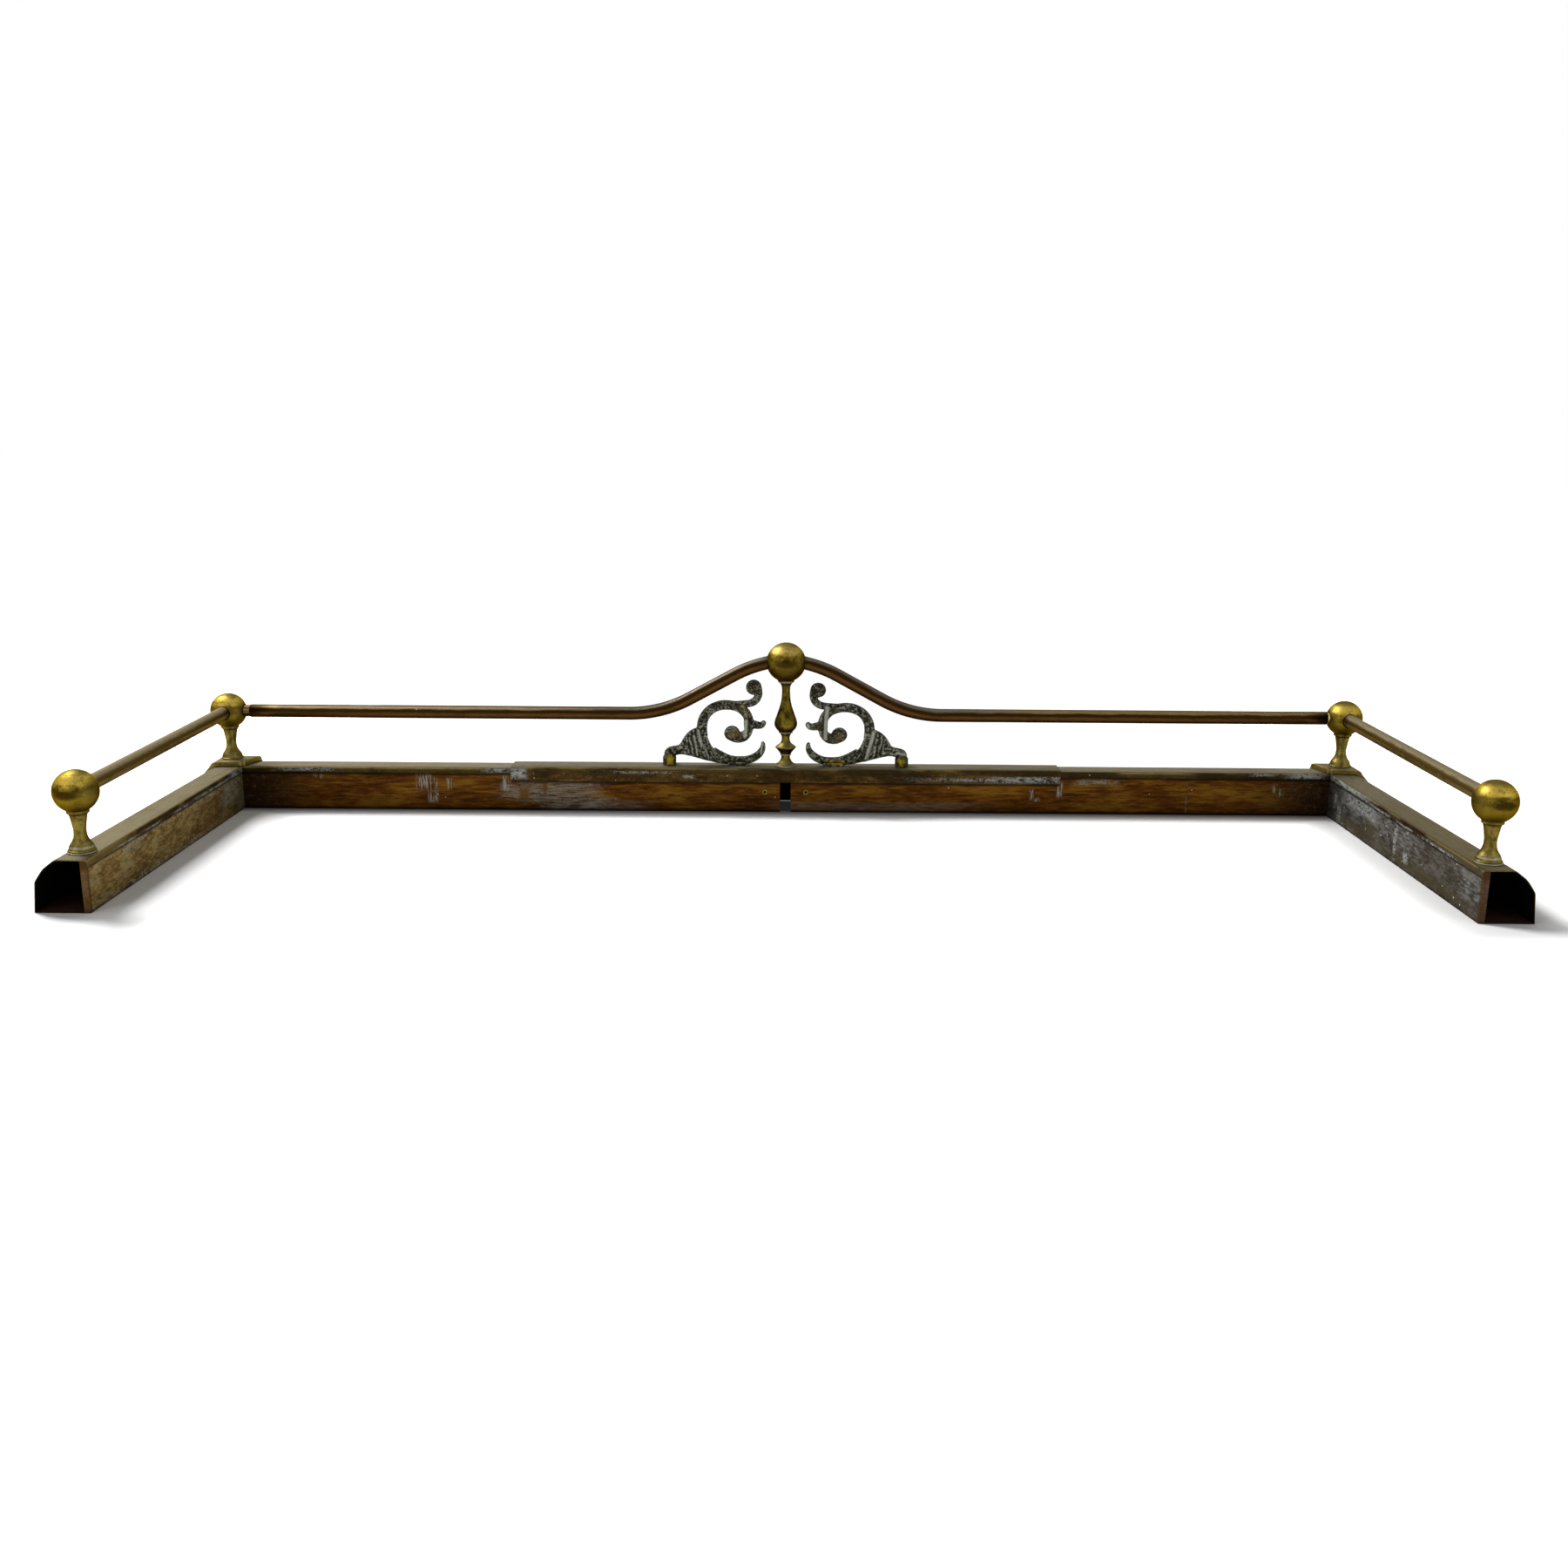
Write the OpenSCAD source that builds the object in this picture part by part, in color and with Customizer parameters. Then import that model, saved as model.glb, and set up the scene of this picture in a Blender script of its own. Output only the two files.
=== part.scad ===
// Extending brass hearth fender: a low kerb bent round three sides of a hearth, with a turned
// centre post, two cast scrolls, four small posts with balls, and a telescopic rail above it.
// The left and right arms slide out from under the centre cover, along X.
// Frame: +X along the front kerb, +Y from the hearth towards the room, +Z up, floor at z = 0.
// A kerb section is drawn in [u, z]: u is the distance from the line of the posts, outwards.

/* [Kerb] */
// Distance between the two corner posts with the arms as stored
post_pitch = 1356; // [1240:2:1560]
// Distance from a corner post to the end post of the same leg
leg_pitch = 390; // [240:1:460]
// Distance from an end post to the open end of its leg
leg_end = 28; // [18:0.5:60]
// Height of the kerb's flat top above the floor
kerb_h = 53; // [48:0.5:70]
// Distance from the line of the posts to the kerb's hearth side
back_reach = 17; // [16:0.5:22]
// Width of the kerb's flat top
top_w = 31; // [30:0.5:40]
// Width of the sloping shoulder
shoulder_w = 21; // [14:0.5:28]
// Fall of the sloping shoulder
shoulder_drop = 22; // [16:0.5:28]
// Outward swell of the shoulder at its middle
shoulder_swell = 2.4; // [0.5:0.1:4]
// Lean of the outer wall between the shoulder and the floor
wall_lean = 3; // [0:0.5:6]

/* [Sheet metal] */
// Thickness of the arms' pressed brass
sheet = 1; // [0.8:0.1:1.4]
// Depth of the arms' turned-down lip on the hearth side
arm_lip = 7; // [4:0.5:12]
// Thickness of the hearth-side plates
plate_t = 1; // [0.8:0.1:1.6]
// Thickness of the floor plates
base_t = 1; // [0.8:0.1:2]
// Width of the flanges turned in at the ends of the hearth-side plates
end_flange = 6; // [3:0.5:6.5]

/* [Centre cover] */
// Length of the cover over the two arms
cover_len = 668; // [640:2:760]
// Thickness of the cover's sheet
cover_t = 1.5; // [1:0.1:2]
// Running gap between the cover and the arms inside it
cover_gap = 0.4; // [0.2:0.05:0.6]
// Depth of the cover's lip on the hearth side
cover_lip = 15.5; // [10:0.5:24]
// Height of the cover's front edge above the floor
cover_lift = 1; // [0.5:0.5:4]

/* [Arms] */
// Gap between the inner ends of the two arms as stored
arm_gap = 13; // [10:0.5:20]
// Width of the slots in the arms' tops, which pass the studs of the centre pieces
slot_w = 8; // [6:0.5:10]

/* [Balls and posts] */
// Diameter of the four small balls
ball_d = 42.4; // [38:0.2:48]
// Diameter of the centre ball
centre_ball_d = 47.6; // [42:0.2:56]
// Height of the corner balls' centres and of the front rails
rail_h = 118.5; // [110:0.5:130]
// Height of the centre ball's centre
centre_h = 182.5; // [178:0.5:196]
// Radius of a small post at its waist
waist_r = 5.9; // [5:0.1:7.5]
// Radius of a small post at its foot
foot_r = 13.4; // [12:0.1:15]
// Diameter of the tie rods inside the posts
rod_d = 4.8; // [4:0.1:5.4]

/* [Rails] */
// Outer diameter of the side rails and the swan-necked rails
rail_d = 15.9; // [13:0.1:18]
// Wall of the rail tubes
rail_wall = 0.8; // [0.6:0.1:1.2]
// Radial running clearance between a sliding tube and the rail around it
slide_fit = 0.05; // [0.02:0.01:0.1]
// Length of each sliding tube, from the corner post
slide_len = 420; // [380:5:440]
// Distance from the left corner post to the open end of its rail
left_rail_stop = 27.5; // [26:0.5:32]
// Distance from the right corner post to the open end of its rail
right_rail_stop = 22; // [21.5:0.5:32]
// Slope of a rail where it enters the centre ball, in degrees
entry_slope = 14.5; // [10:0.5:20]
// Steepest slope of the swan neck, in degrees
neck_slope = 28.5; // [26:0.5:36]
// Radius of the upper bend of the swan neck
upper_bend = 150; // [130:5:200]
// Radius of the lower bend of the swan neck
lower_bend = 155; // [130:5:200]

/* [Corner caps] */
// Height of a corner cap above the kerb's top
cap_t = 5; // [3:0.5:7]
// Reach of a corner cap along the front kerb, past the inner corner
cap_front = 12; // [8:1:32]
// Reach of a corner cap along the leg, past the inner corner
cap_side = 7; // [4:1:20]

/* [Scrolls] */
// Thickness of the cast scrolls
scroll_t = 7; // [5:0.5:9]
// Distance from the centre to a scroll's outer foot
foot_x = 142; // [134:0.5:150]
// Distance from the centre to the middle of a scroll's pad
pad_x = 58; // [52:0.5:64]
// Diameter of a scroll's outer foot
scroll_foot_d = 15; // [12:0.5:17]
// Diameter of the studs under the scrolls
stud_d = 4.2; // [3.6:0.1:5]

/* [Fasteners] */
// Size of the hexagon nuts across their corners
nut_d = 9.4; // [8.6:0.1:12]
// Height of the nuts
nut_h = 3.6; // [3:0.1:5]
// Diameter of the washers
washer_d = 12; // [10.5:0.5:14]
// Thickness of the washers
washer_t = 1; // [0.6:0.1:1.6]

/* [Hidden] */

$fn = 72;

// Small distances that several pieces share
fit = 0.05;          // radial gap of a fixed tube or rod in its socket
rod_gap = 0.25;      // radial gap of a rod in a plain hole
bend_r = 1.6;        // outer radius of the folds
eps = 1;             // how far a cut runs past the face that it opens
socket_floor = 9;    // distance from a ball's centre to the bottom of its sockets
mouth_floor = 15;    // distance from a corner ball's centre to the floor of its wide mouth
mouth_gap = 0.3;     // radial gap of a rail's end in a corner ball's wide mouth
bracket_t = 2;       // thickness of the corner brackets and the clamp plate
inner_w = 18;        // width of the strips under the kerb's top
clamp_l = 80;        // length of the clamp plate under the centre post
plate_gap = 0.3;     // gap between a floor plate and the foot of the wall
rod_tail = 2;        // how far a rod or stud stands out below its nut

// Heights
cover_top = kerb_h + cover_gap + cover_t;
cap_top = kerb_h + cap_t;
under_top = kerb_h - sheet;
wall_top = kerb_h - shoulder_drop;
post_h = rail_h - cap_top; // the four small posts are alike, and two of them stand on the caps
end_h = kerb_h + post_h;   // so the end balls are lower, and the side rails slope down to them

// Plan
corner_x = post_pitch / 2;
arm_start = arm_gap / 2;
slot_end = foot_x + stud_d / 2 + arm_start;
flat_edge = top_w - back_reach;
shoulder_u = flat_edge + shoulder_w;
foot_u = shoulder_u + wall_lean;
plate_u = sheet - back_reach;
plate_top = kerb_h - bend_r;
arm_foot = sheet * wall_lean / norm([wall_lean, wall_top]);
front_reach = max([for (p = shifted(kerb_path(cover_lip, cover_lift), cover_gap + cover_t)) p[0]]);
front_y = (leg_pitch + leg_end - front_reach) / 2;
end_y = front_y - leg_pitch;
open_y = end_y - leg_end;
side_slope = atan((rail_h - end_h) / leg_pitch);
side_l = norm([leg_pitch, rail_h - end_h]);

// Radii
ball_r = ball_d / 2;
centre_ball_r = centre_ball_d / 2;
rail_r = rail_d / 2;
slide_r = rail_r - rail_wall - slide_fit;
rod_r = rod_d / 2;
hole_r = rod_r + rod_gap;
stud_r = stud_d / 2;

// ---- Curves ------------------------------------------------------------------------------

function unit(v) = v / norm(v);

function reversed(list) = [for (i = [len(list) - 1:-1:0]) list[i]];

// An arc of radius r that rounds the corner at b, on the way from a to c
function rounded_corner(a, b, c, r, steps = 4) =
    let (
        to_a = unit(a - b),
        to_c = unit(c - b),
        half = acos(to_a * to_c) / 2,
        middle = b + unit(to_a + to_c) * r / sin(half),
        from = b + to_a * r / tan(half) - middle,
        to = b + to_c * r / tan(half) - middle,
        start = atan2(from[1], from[0]),
        turn = atan2(to[1], to[0]) - start,
        sweep = turn > 180 ? turn - 360 : turn < -180 ? turn + 360 : turn
    )
    [for (i = [0:steps]) middle + r * [cos(start + sweep * i / steps), sin(start + sweep * i / steps)]];

// A path whose corners are rounded, each by its own radius
function rounded_path(points, radii) = [
    for (i = [0:len(points) - 1])
        each (radii[i] == 0
            ? [points[i]]
            : rounded_corner(points[i - 1], points[i], points[i + 1], radii[i]))
];

// The path moved sideways by d, to the left of its direction
function shifted(path, d) =
    let (last = len(path) - 1)
    [
        for (i = [0:last])
            let (
                before = unit(path[max(i, 1)] - path[max(i, 1) - 1]),
                after = unit(path[min(i + 1, last)] - path[min(i + 1, last) - 1]),
                left_before = [-before[1], before[0]],
                left_after = [-after[1], after[0]],
                way = unit(left_before + left_after)
            )
            path[i] + way * d / (way * left_before)
    ];

// The band between two sideways shifts of a path
function band(path, inner, outer) = concat(shifted(path, outer), reversed(shifted(path, inner)));

// A smooth curve through the points, by Catmull and Rom's rule
function smooth(points, steps = 4) =
    let (last = len(points) - 1)
    [
        for (i = [0:last - 1])
            let (
                a = points[max(i - 1, 0)],
                b = points[i],
                c = points[i + 1],
                d = points[min(i + 2, last)]
            )
            for (s = [0:(i == last - 1 ? steps : steps - 1)])
                let (t = s / steps)
                (2 * b + (c - a) * t + (2 * a - 5 * b + 4 * c - d) * t * t
                    + (3 * b - a - 3 * c + d) * t * t * t) / 2
    ];

// The outline of a stroke: points are [x, z, half width]
function stroke(points) =
    let (
        run = smooth(points),
        line = [for (p = run) [p[0], p[1]]],
        last = len(line) - 1,
        side = [
            for (i = [0:last])
                let (way = unit(line[min(i + 1, last)] - line[max(i - 1, 0)]))
                [-way[1], way[0]] * run[i][2]
        ]
    )
    concat([for (i = [0:last]) line[i] + side[i]], [for (i = [last:-1:0]) line[i] - side[i]]);

// ---- Kerb sections -----------------------------------------------------------------------

function wall_u(z) = shoulder_u + wall_lean * (1 - z / wall_top);

// The kerb's outer surface, from the foot of the lip over the top to the foot of the wall
function kerb_path(lip, foot) =
    let (
        along = [shoulder_w, -shoulder_drop],
        middle = [flat_edge, kerb_h] + along / 2 + unit([shoulder_drop, shoulder_w]) * shoulder_swell
    )
    rounded_path(
        [
            [-back_reach, kerb_h - lip],
            [-back_reach, kerb_h],
            [flat_edge, kerb_h],
            middle,
            [shoulder_u, wall_top],
            [wall_u(foot), foot]
        ],
        [0, bend_r, 6, 30, 8, 0]
    );

arm_section = band(kerb_path(arm_lip, arm_foot), -sheet, 0);
cover_section = band(kerb_path(cover_lip, cover_lift), cover_gap, cover_gap + cover_t);

// The part of the kerb's surface that the cap lies on
shoulder_line = [for (p = kerb_path(arm_lip, arm_foot)) if (p[0] > 0 && p[1] > wall_top + 3) p];

// The cap thins out down the shoulder
cap_section = concat(
    [
        [-back_reach, kerb_h],
        [-back_reach, kerb_h + cap_t * 0.5],
        [-back_reach + cap_t * 0.15, kerb_h + cap_t * 0.85],
        [-back_reach + cap_t * 0.5, cap_top]
    ],
    rounded_corner([-back_reach, cap_top], [flat_edge + 2, cap_top], [shoulder_u + 1, wall_top + 4], 12),
    [
        [shoulder_u + 1.2, wall_top + 4],
        [shoulder_u + 0.2, wall_top + 2.4]
    ],
    reversed(shoulder_line)
);

// ---- Placing -----------------------------------------------------------------------------

module left() {
    mirror([1, 0, 0]) children();
}

// A section run along the front kerb, between two places on X
module front_run(from, to) {
    translate([from, front_y, 0])
        rotate([90, 0, 90])
            linear_extrude(to - from) children();
}

// A section run along the leg, between two distances from the corner post
module side_run(from, to) {
    translate([corner_x, front_y - from, 0])
        rotate([90, 0, 0])
            linear_extrude(to - from) children();
}

// A prism over the whole height, drawn in plan round the corner post
module over_corner(plan) {
    translate([corner_x, front_y, -eps])
        linear_extrude(cap_top + 2 * eps) polygon(plan);
}

// The front side and the leg side of the mitred corner
module mitred_front(length) {
    wide = foot_u + 2 * eps;
    intersection() {
        children();
        over_corner([[-length, -wide], [-wide, -wide], [wide, wide], [-length, wide]]);
    }
}

module mitred_side(length) {
    wide = foot_u + 2 * eps;
    intersection() {
        children();
        over_corner([[-wide, -wide], [wide, wide], [wide, -length], [-wide, -length]]);
    }
}

// A ring that lies flat with its lower face at z
module ring(x, y, z, outer_r, inner_r, height) {
    translate([x, y, z])
        difference() {
            cylinder(r = outer_r, h = height);
            translate([0, 0, -eps]) cylinder(r = inner_r, h = height + 2 * eps);
        }
}

// A hexagon nut with its lower face at z
module nut(x, y, z, bore_r) {
    translate([x, y, z])
        difference() {
            cylinder(d = nut_d, h = nut_h, $fn = 6);
            translate([0, 0, -eps]) cylinder(r = bore_r, h = nut_h + 2 * eps);
        }
}

module drill(x, y, z, r, depth) {
    translate([x, y, z]) cylinder(r = r, h = depth);
}

// ---- Centre pieces -----------------------------------------------------------------------

module centre_cover() {
    color("#6e6a50")
        difference() {
            front_run(-cover_len / 2, cover_len / 2) polygon(cover_section);
            drill(0, front_y, under_top, hole_r, cover_top);
            for (x = [-foot_x, -pad_x, pad_x, foot_x])
                drill(x, front_y, under_top, stud_r + rod_gap, cover_top);
        }
}

// Radius and height of the centre post's turned outline, above the cover.
// It is drawn for the height centre_post_h and stretched to the height it has.
centre_post_h = 126.8;
centre_outline = concat(
    [[13.6, 0], [13.6, 1], [12.8, 1.7], [10.6, 1.9]],
    smooth([[10.2, 2.2], [8.6, 4.2], [6.9, 6.4], [5.6, 9], [5.3, 11.2], [5.6, 13.2]], 2),
    [[6.7, 13.6], [6.9, 14.2], [6.7, 14.8], [6.4, 15]],
    smooth([[6.4, 15], [8.4, 18], [11.2, 21.2], [12.5, 22.6]], 2),
    [[12.6, 23.2]],
    smooth([[12, 24], [9.2, 26], [6.6, 28.2], [5.2, 31], [4.8, 34], [5.4, 37.4], [7.2, 40.6]], 2),
    [[8.4, 41], [8.7, 41.6], [8.4, 42.2]],
    smooth(
        [
            [8.8, 42.8], [11.6, 45.8], [13.4, 49], [13.9, 52.4], [13, 57], [11, 62.6], [8.8, 69],
            [6.8, 75.4], [5.5, 82], [5, 89], [4.9, 94], [5.5, 98], [7.2, 101.2], [8.6, 102.6]
        ],
        2
    ),
    [[9.6, 102.9], [9.9, 103.6], [9.9, 104.6], [10.6, 106.2]]
);

module centre_post() {
    stretch = (centre_h - cover_top) / centre_post_h;
    outline = [for (p = centre_outline) [p[0], p[1] * stretch]];
    top = outline[len(outline) - 1];
    color("#8a7a2e")
        difference() {
            translate([0, front_y, cover_top])
                rotate_extrude() polygon(concat(outline, [[hole_r, top[1]], [hole_r, 0]]));
            translate([0, front_y, centre_h]) sphere(r = centre_ball_r + fit);
        }
}

// The swan-necked rail's centre line, in X and Z. It starts inside the centre ball.
neck_meet = [0, centre_h + 5];      // where the two rails' lines would meet
neck_in = 11;                       // distance from there to the tube's end, in its socket
neck_out = 29;                      // distance from there to the start of the upper bend
seat = 0.5;                         // how far a straight runs into the bend beside it
bend_swell = 0.03;                  // how much thicker each side of a bend's wall is
function down(slope) = [cos(slope), -sin(slope)];
function up_normal(slope) = [sin(slope), cos(slope)];
neck_start = neck_meet + neck_in * down(entry_slope);
upper_start = neck_meet + neck_out * down(entry_slope);
upper_centre = upper_start - upper_bend * up_normal(entry_slope);
upper_end = upper_centre + upper_bend * up_normal(neck_slope);
neck_len = (upper_end[1] - rail_h - lower_bend * (1 - cos(neck_slope))) / sin(neck_slope);
lower_start = upper_end + neck_len * down(neck_slope);
lower_centre = lower_start + lower_bend * up_normal(neck_slope);

module tube_section(outer_r, inner_r) {
    difference() {
        circle(r = outer_r);
        circle(r = inner_r);
    }
}

// A straight tube in the plane of the front rail
module neck_straight(from, slope, length) {
    translate([from[0], front_y, from[1]])
        rotate([0, 90 + slope, 0])
            linear_extrude(length) tube_section(rail_r, rail_r - rail_wall);
}

// A bent tube in the same plane, which starts at an angle above +X and turns on by another
module neck_bend(centre, radius, start, angle) {
    translate([centre[0], front_y, centre[1]])
        rotate([90, 0, 0])
            rotate([0, 0, start])
                rotate_extrude(angle = angle)
                    translate([radius, 0])
                        tube_section(rail_r + bend_swell, rail_r - rail_wall - bend_swell);
}

module swan_rail(stop) {
    lower_end = [lower_centre[0] - seat, rail_h];
    color("#7c6a3c")
        union() {
            neck_straight(neck_start, entry_slope, neck_out - neck_in + seat);
            neck_bend(upper_centre, upper_bend, 90 - neck_slope, neck_slope - entry_slope);
            neck_straight(upper_end - seat * down(neck_slope), neck_slope, neck_len + 2 * seat);
            neck_bend(lower_centre, lower_bend, 270 - neck_slope, neck_slope);
            neck_straight(lower_end, 0, corner_x - stop - lower_end[0]);
        }
}

module centre_ball() {
    socket = neck_meet + (neck_in - fit) * down(entry_slope);
    color("#a5842c")
        difference() {
            translate([0, front_y, centre_h]) sphere(r = centre_ball_r);
            for (side = [0, 1])
                mirror([side, 0, 0])
                    translate([socket[0], front_y, socket[1]])
                        rotate([0, 90 + entry_slope, 0])
                            cylinder(r = rail_r + fit, h = centre_ball_d);
            drill(0, front_y, centre_h - centre_ball_d, rod_r + fit, centre_ball_d - socket_floor);
        }
}

clamp_top = under_top - cover_gap;

module centre_clamp_plate() {
    color("#4d4136")
        difference() {
            translate([-clamp_l / 2, front_y - inner_w / 2, clamp_top - bracket_t])
                cube([clamp_l, inner_w, bracket_t]);
            drill(0, front_y, clamp_top - bracket_t - eps, hole_r, bracket_t + 2 * eps);
        }
}

module centre_nut() {
    color("#5a564e") nut(0, front_y, clamp_top - bracket_t - nut_h, rod_r + fit);
}

module centre_tie_rod() {
    bottom = clamp_top - bracket_t - nut_h - rod_tail;
    color("#5a564e") drill(0, front_y, bottom, rod_r, centre_h - socket_floor - bottom);
}

// ---- Scrolls -----------------------------------------------------------------------------

// The strokes of a scroll: [x, height above the cover, half width]
main_stroke = [
    [101.8, 36, 6.4], [102.2, 47, 6], [99.8, 59, 5.7], [92, 69.5, 5.6], [80, 75.2, 5.6], [67, 75.6, 5.5],
    [56, 72.3, 5.5], [48.6, 65.5, 5.4], [44.8, 57, 5], [44.8, 48, 4.8], [47, 41, 5.2], [52, 36.4, 6],
    [58.5, 35.4, 6.6], [64, 37.5, 7.2]
];
curl_stroke = [
    [62, 76, 4.4], [51, 77.2, 4], [42.5, 78.5, 4.2], [36.4, 82.5, 4.3], [33.4, 89, 4.3], [34.6, 96, 5.4]
];
spur_stroke = [[45, 52, 6.2], [38.5, 51.4, 4.8], [32, 50.6, 4], [28, 52, 3.2], [25.9, 55.4, 1.4]];
tail_stroke = [
    [90, 13.8, 9], [77, 8.8, 6.8], [66, 6.6, 5], [56, 6.2, 4.6], [47, 6.8, 4.6], [39.5, 9.4, 4.6],
    [33, 14, 4.2], [28.8, 20, 3.4], [27.6, 26, 2.3], [28.3, 31, 0.8]
];
leaf_edge = [
    [100, 52], [108.6, 47.2], [115.4, 44.4], [122, 38.6], [126.6, 31], [129.4, 25.4], [134.6, 24],
    [141, 21.6], [146.4, 17.2], [149, 12], [142, 9], [134.8, 12], [128, 14], [118, 11.8], [106, 8.6],
    [95, 5.2], [86, 5], [84, 14], [90, 22], [96, 36]
];
spiral_ball = [65.4, 40.4, 9.4];
curl_ball = [39, 98.4, 9.3];
foot_neck = 12;    // height of the outer foot's straight stretch
pad_l = 24;
pad_w = 13;
pad_h = 5;

module scroll_outline() {
    for (s = [main_stroke, curl_stroke, spur_stroke, tail_stroke])
        polygon(stroke(s));
    polygon(smooth(leaf_edge, 3));
    for (b = [spiral_ball, curl_ball])
        translate([b[0], b[1]]) circle(r = b[2]);
}

module scroll() {
    stud_end = clamp_top - washer_t - nut_h - rod_tail;
    r = scroll_foot_d / 2;
    color("#5d5f4c")
        union() {
            translate([0, front_y + scroll_t / 2, cover_top])
                rotate([90, 0, 0])
                    linear_extrude(scroll_t) scroll_outline();
            translate([foot_x, front_y, cover_top])
                rotate_extrude()
                    polygon([
                        [0, 0], [r - 0.6, 0], [r, 0.8], [r, foot_neck],
                        [r * 0.9, foot_neck + 3.4], [r * 0.62, foot_neck + 6], [0, foot_neck + 7.4]
                    ]);
            translate([pad_x, front_y, cover_top])
                linear_extrude(pad_h) {
                    square([pad_l - pad_w, pad_w], center = true);
                    for (side = [-1, 1])
                        translate([side * (pad_l - pad_w) / 2, 0]) circle(d = pad_w);
                }
            for (x = [pad_x, foot_x])
                drill(x, front_y, stud_end, stud_r, cover_top + pad_h / 2 - stud_end);
        }
}

module scroll_washers() {
    color("#5a564e")
        for (x = [-foot_x, -pad_x, pad_x, foot_x])
            ring(x, front_y, clamp_top - washer_t, washer_d / 2, stud_r + rod_gap, washer_t);
}

module scroll_nuts() {
    color("#5a564e")
        for (x = [-foot_x, -pad_x, pad_x, foot_x])
            nut(x, front_y, clamp_top - washer_t - nut_h, stud_r + fit);
}

// ---- Arms, drawn for the right side ------------------------------------------------------

module front_casing() {
    color("#6e6a50")
        difference() {
            mitred_front(corner_x) front_run(arm_start, corner_x + foot_u + eps) polygon(arm_section);
            translate([arm_start - eps, front_y - slot_w / 2, under_top - eps])
                cube([slot_end - arm_start + eps, slot_w, sheet + 2 * eps]);
            drill(slot_end, front_y, under_top - eps, slot_w / 2, sheet + 2 * eps);
            drill(corner_x, front_y, under_top - eps, hole_r, sheet + 2 * eps);
        }
}

module side_casing() {
    length = leg_pitch + leg_end;
    color("#6e6a50")
        difference() {
            mitred_side(length) side_run(-foot_u - eps, length) polygon(arm_section);
            drill(corner_x, front_y, under_top - eps, hole_r, sheet + 2 * eps);
            drill(corner_x, end_y, under_top - eps, hole_r, sheet + 2 * eps);
        }
}

eyelet_x = 25;
eyelet_z = 25;
eyelet_r = 2.2;

module front_back_plate() {
    color("#6b4a22")
        difference() {
            union() {
                front_run(arm_start, corner_x + plate_u + plate_t)
                    translate([plate_u, 0]) square([plate_t, plate_top]);
                front_run(arm_start, arm_start + plate_t)
                    translate([plate_u, 0]) square([end_flange, plate_top]);
            }
            translate([eyelet_x, front_y + plate_u - eps, eyelet_z])
                rotate([-90, 0, 0]) cylinder(r = eyelet_r + fit, h = plate_t + 2 * eps);
        }
}

module side_back_plate() {
    length = leg_pitch + leg_end;
    color("#665a40")
        union() {
            side_run(-plate_u, length) translate([plate_u, 0]) square([plate_t, plate_top]);
            side_run(length - plate_t, length) translate([plate_u, 0]) square([end_flange, plate_top]);
        }
}

// The floor plates lie between the hearth-side plate and the foot of the wall
base_from = plate_u + plate_t;
base_to = wall_u(base_t) - sheet - plate_gap;

module base_section() {
    translate([base_from, 0]) square([base_to - base_from, base_t]);
}

module front_base_plate() {
    color("#4a2f26")
        mitred_front(corner_x)
            difference() {
                front_run(arm_start, corner_x + base_to) base_section();
                translate([arm_start - eps, front_y + plate_u, -eps])
                    cube([plate_t + eps, end_flange, base_t + 2 * eps]);
            }
}

module side_base_plate() {
    length = leg_pitch + leg_end;
    color("#4a2f26")
        mitred_side(length)
            difference() {
                side_run(-base_to, length) base_section();
                translate([corner_x + plate_u, open_y - eps, -eps])
                    cube([end_flange, plate_t + eps, base_t + 2 * eps]);
            }
}

module corner_cap() {
    far = foot_u + 3;
    inner = -back_reach;
    plan = [
        [inner, inner], [inner - cap_front * 0.25, inner - eps], [inner - cap_front, flat_edge],
        [inner - cap_front * 0.9, far], [far, far], [far, inner - cap_side], [flat_edge, inner - cap_side],
        [inner - eps, inner - cap_side * 0.3]
    ];
    reach = 2 * back_reach + cap_front + cap_side;
    color("#7d7648")
        difference() {
            intersection() {
                union() {
                    mitred_front(reach) front_run(corner_x - reach, corner_x + far) polygon(cap_section);
                    mitred_side(reach) side_run(-far, reach) polygon(cap_section);
                }
                over_corner(plan);
            }
            drill(corner_x, front_y, kerb_h - eps, hole_r, cap_t + 2 * eps);
        }
}

module corner_bracket() {
    reach = 60;
    color("#4d4136")
        translate([corner_x, front_y, under_top - bracket_t])
            difference() {
                linear_extrude(bracket_t) {
                    translate([-reach, -inner_w / 2]) square([reach + inner_w / 2, inner_w]);
                    translate([-inner_w / 2, -reach]) square([inner_w, reach]);
                }
                translate([0, 0, -eps]) cylinder(r = hole_r, h = bracket_t + 2 * eps);
            }
}

// A small post from its foot at z = base to the ball above it
module small_post(y, base) {
    neck = 21.5;
    top = post_h - 18;
    outline = concat(
        [[foot_r, 0], [foot_r + 0.3, 0.7], [foot_r, 1.5], [foot_r - 0.7, 1.8], [foot_r - 0.4, 2.5],
         [foot_r - 0.8, 3.2]],
        smooth(
            [
                [foot_r - 1.4, 3.6], [(foot_r + waist_r) / 2 + 1.2, 7.4], [waist_r + 2.2, 11.6],
                [waist_r + 0.5, 16], [waist_r, neck], [waist_r + 0.5, neck + 5],
                [waist_r + 2.2, top - 6], [waist_r + 3.6, top - 3.4]
            ],
            3
        ),
        [[waist_r + 4.3, top - 3.2], [waist_r + 4.6, top - 2.6], [waist_r + 4.3, top - 2],
         [waist_r + 5, top]]
    );
    color("#857528")
        difference() {
            translate([corner_x, y, base])
                rotate_extrude() polygon(concat(outline, [[hole_r, top], [hole_r, 0]]));
            translate([corner_x, y, base + post_h]) sphere(r = ball_r + fit);
        }
}

module corner_post() {
    small_post(front_y, cap_top);
}

module end_post() {
    small_post(end_y, kerb_h);
}

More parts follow.
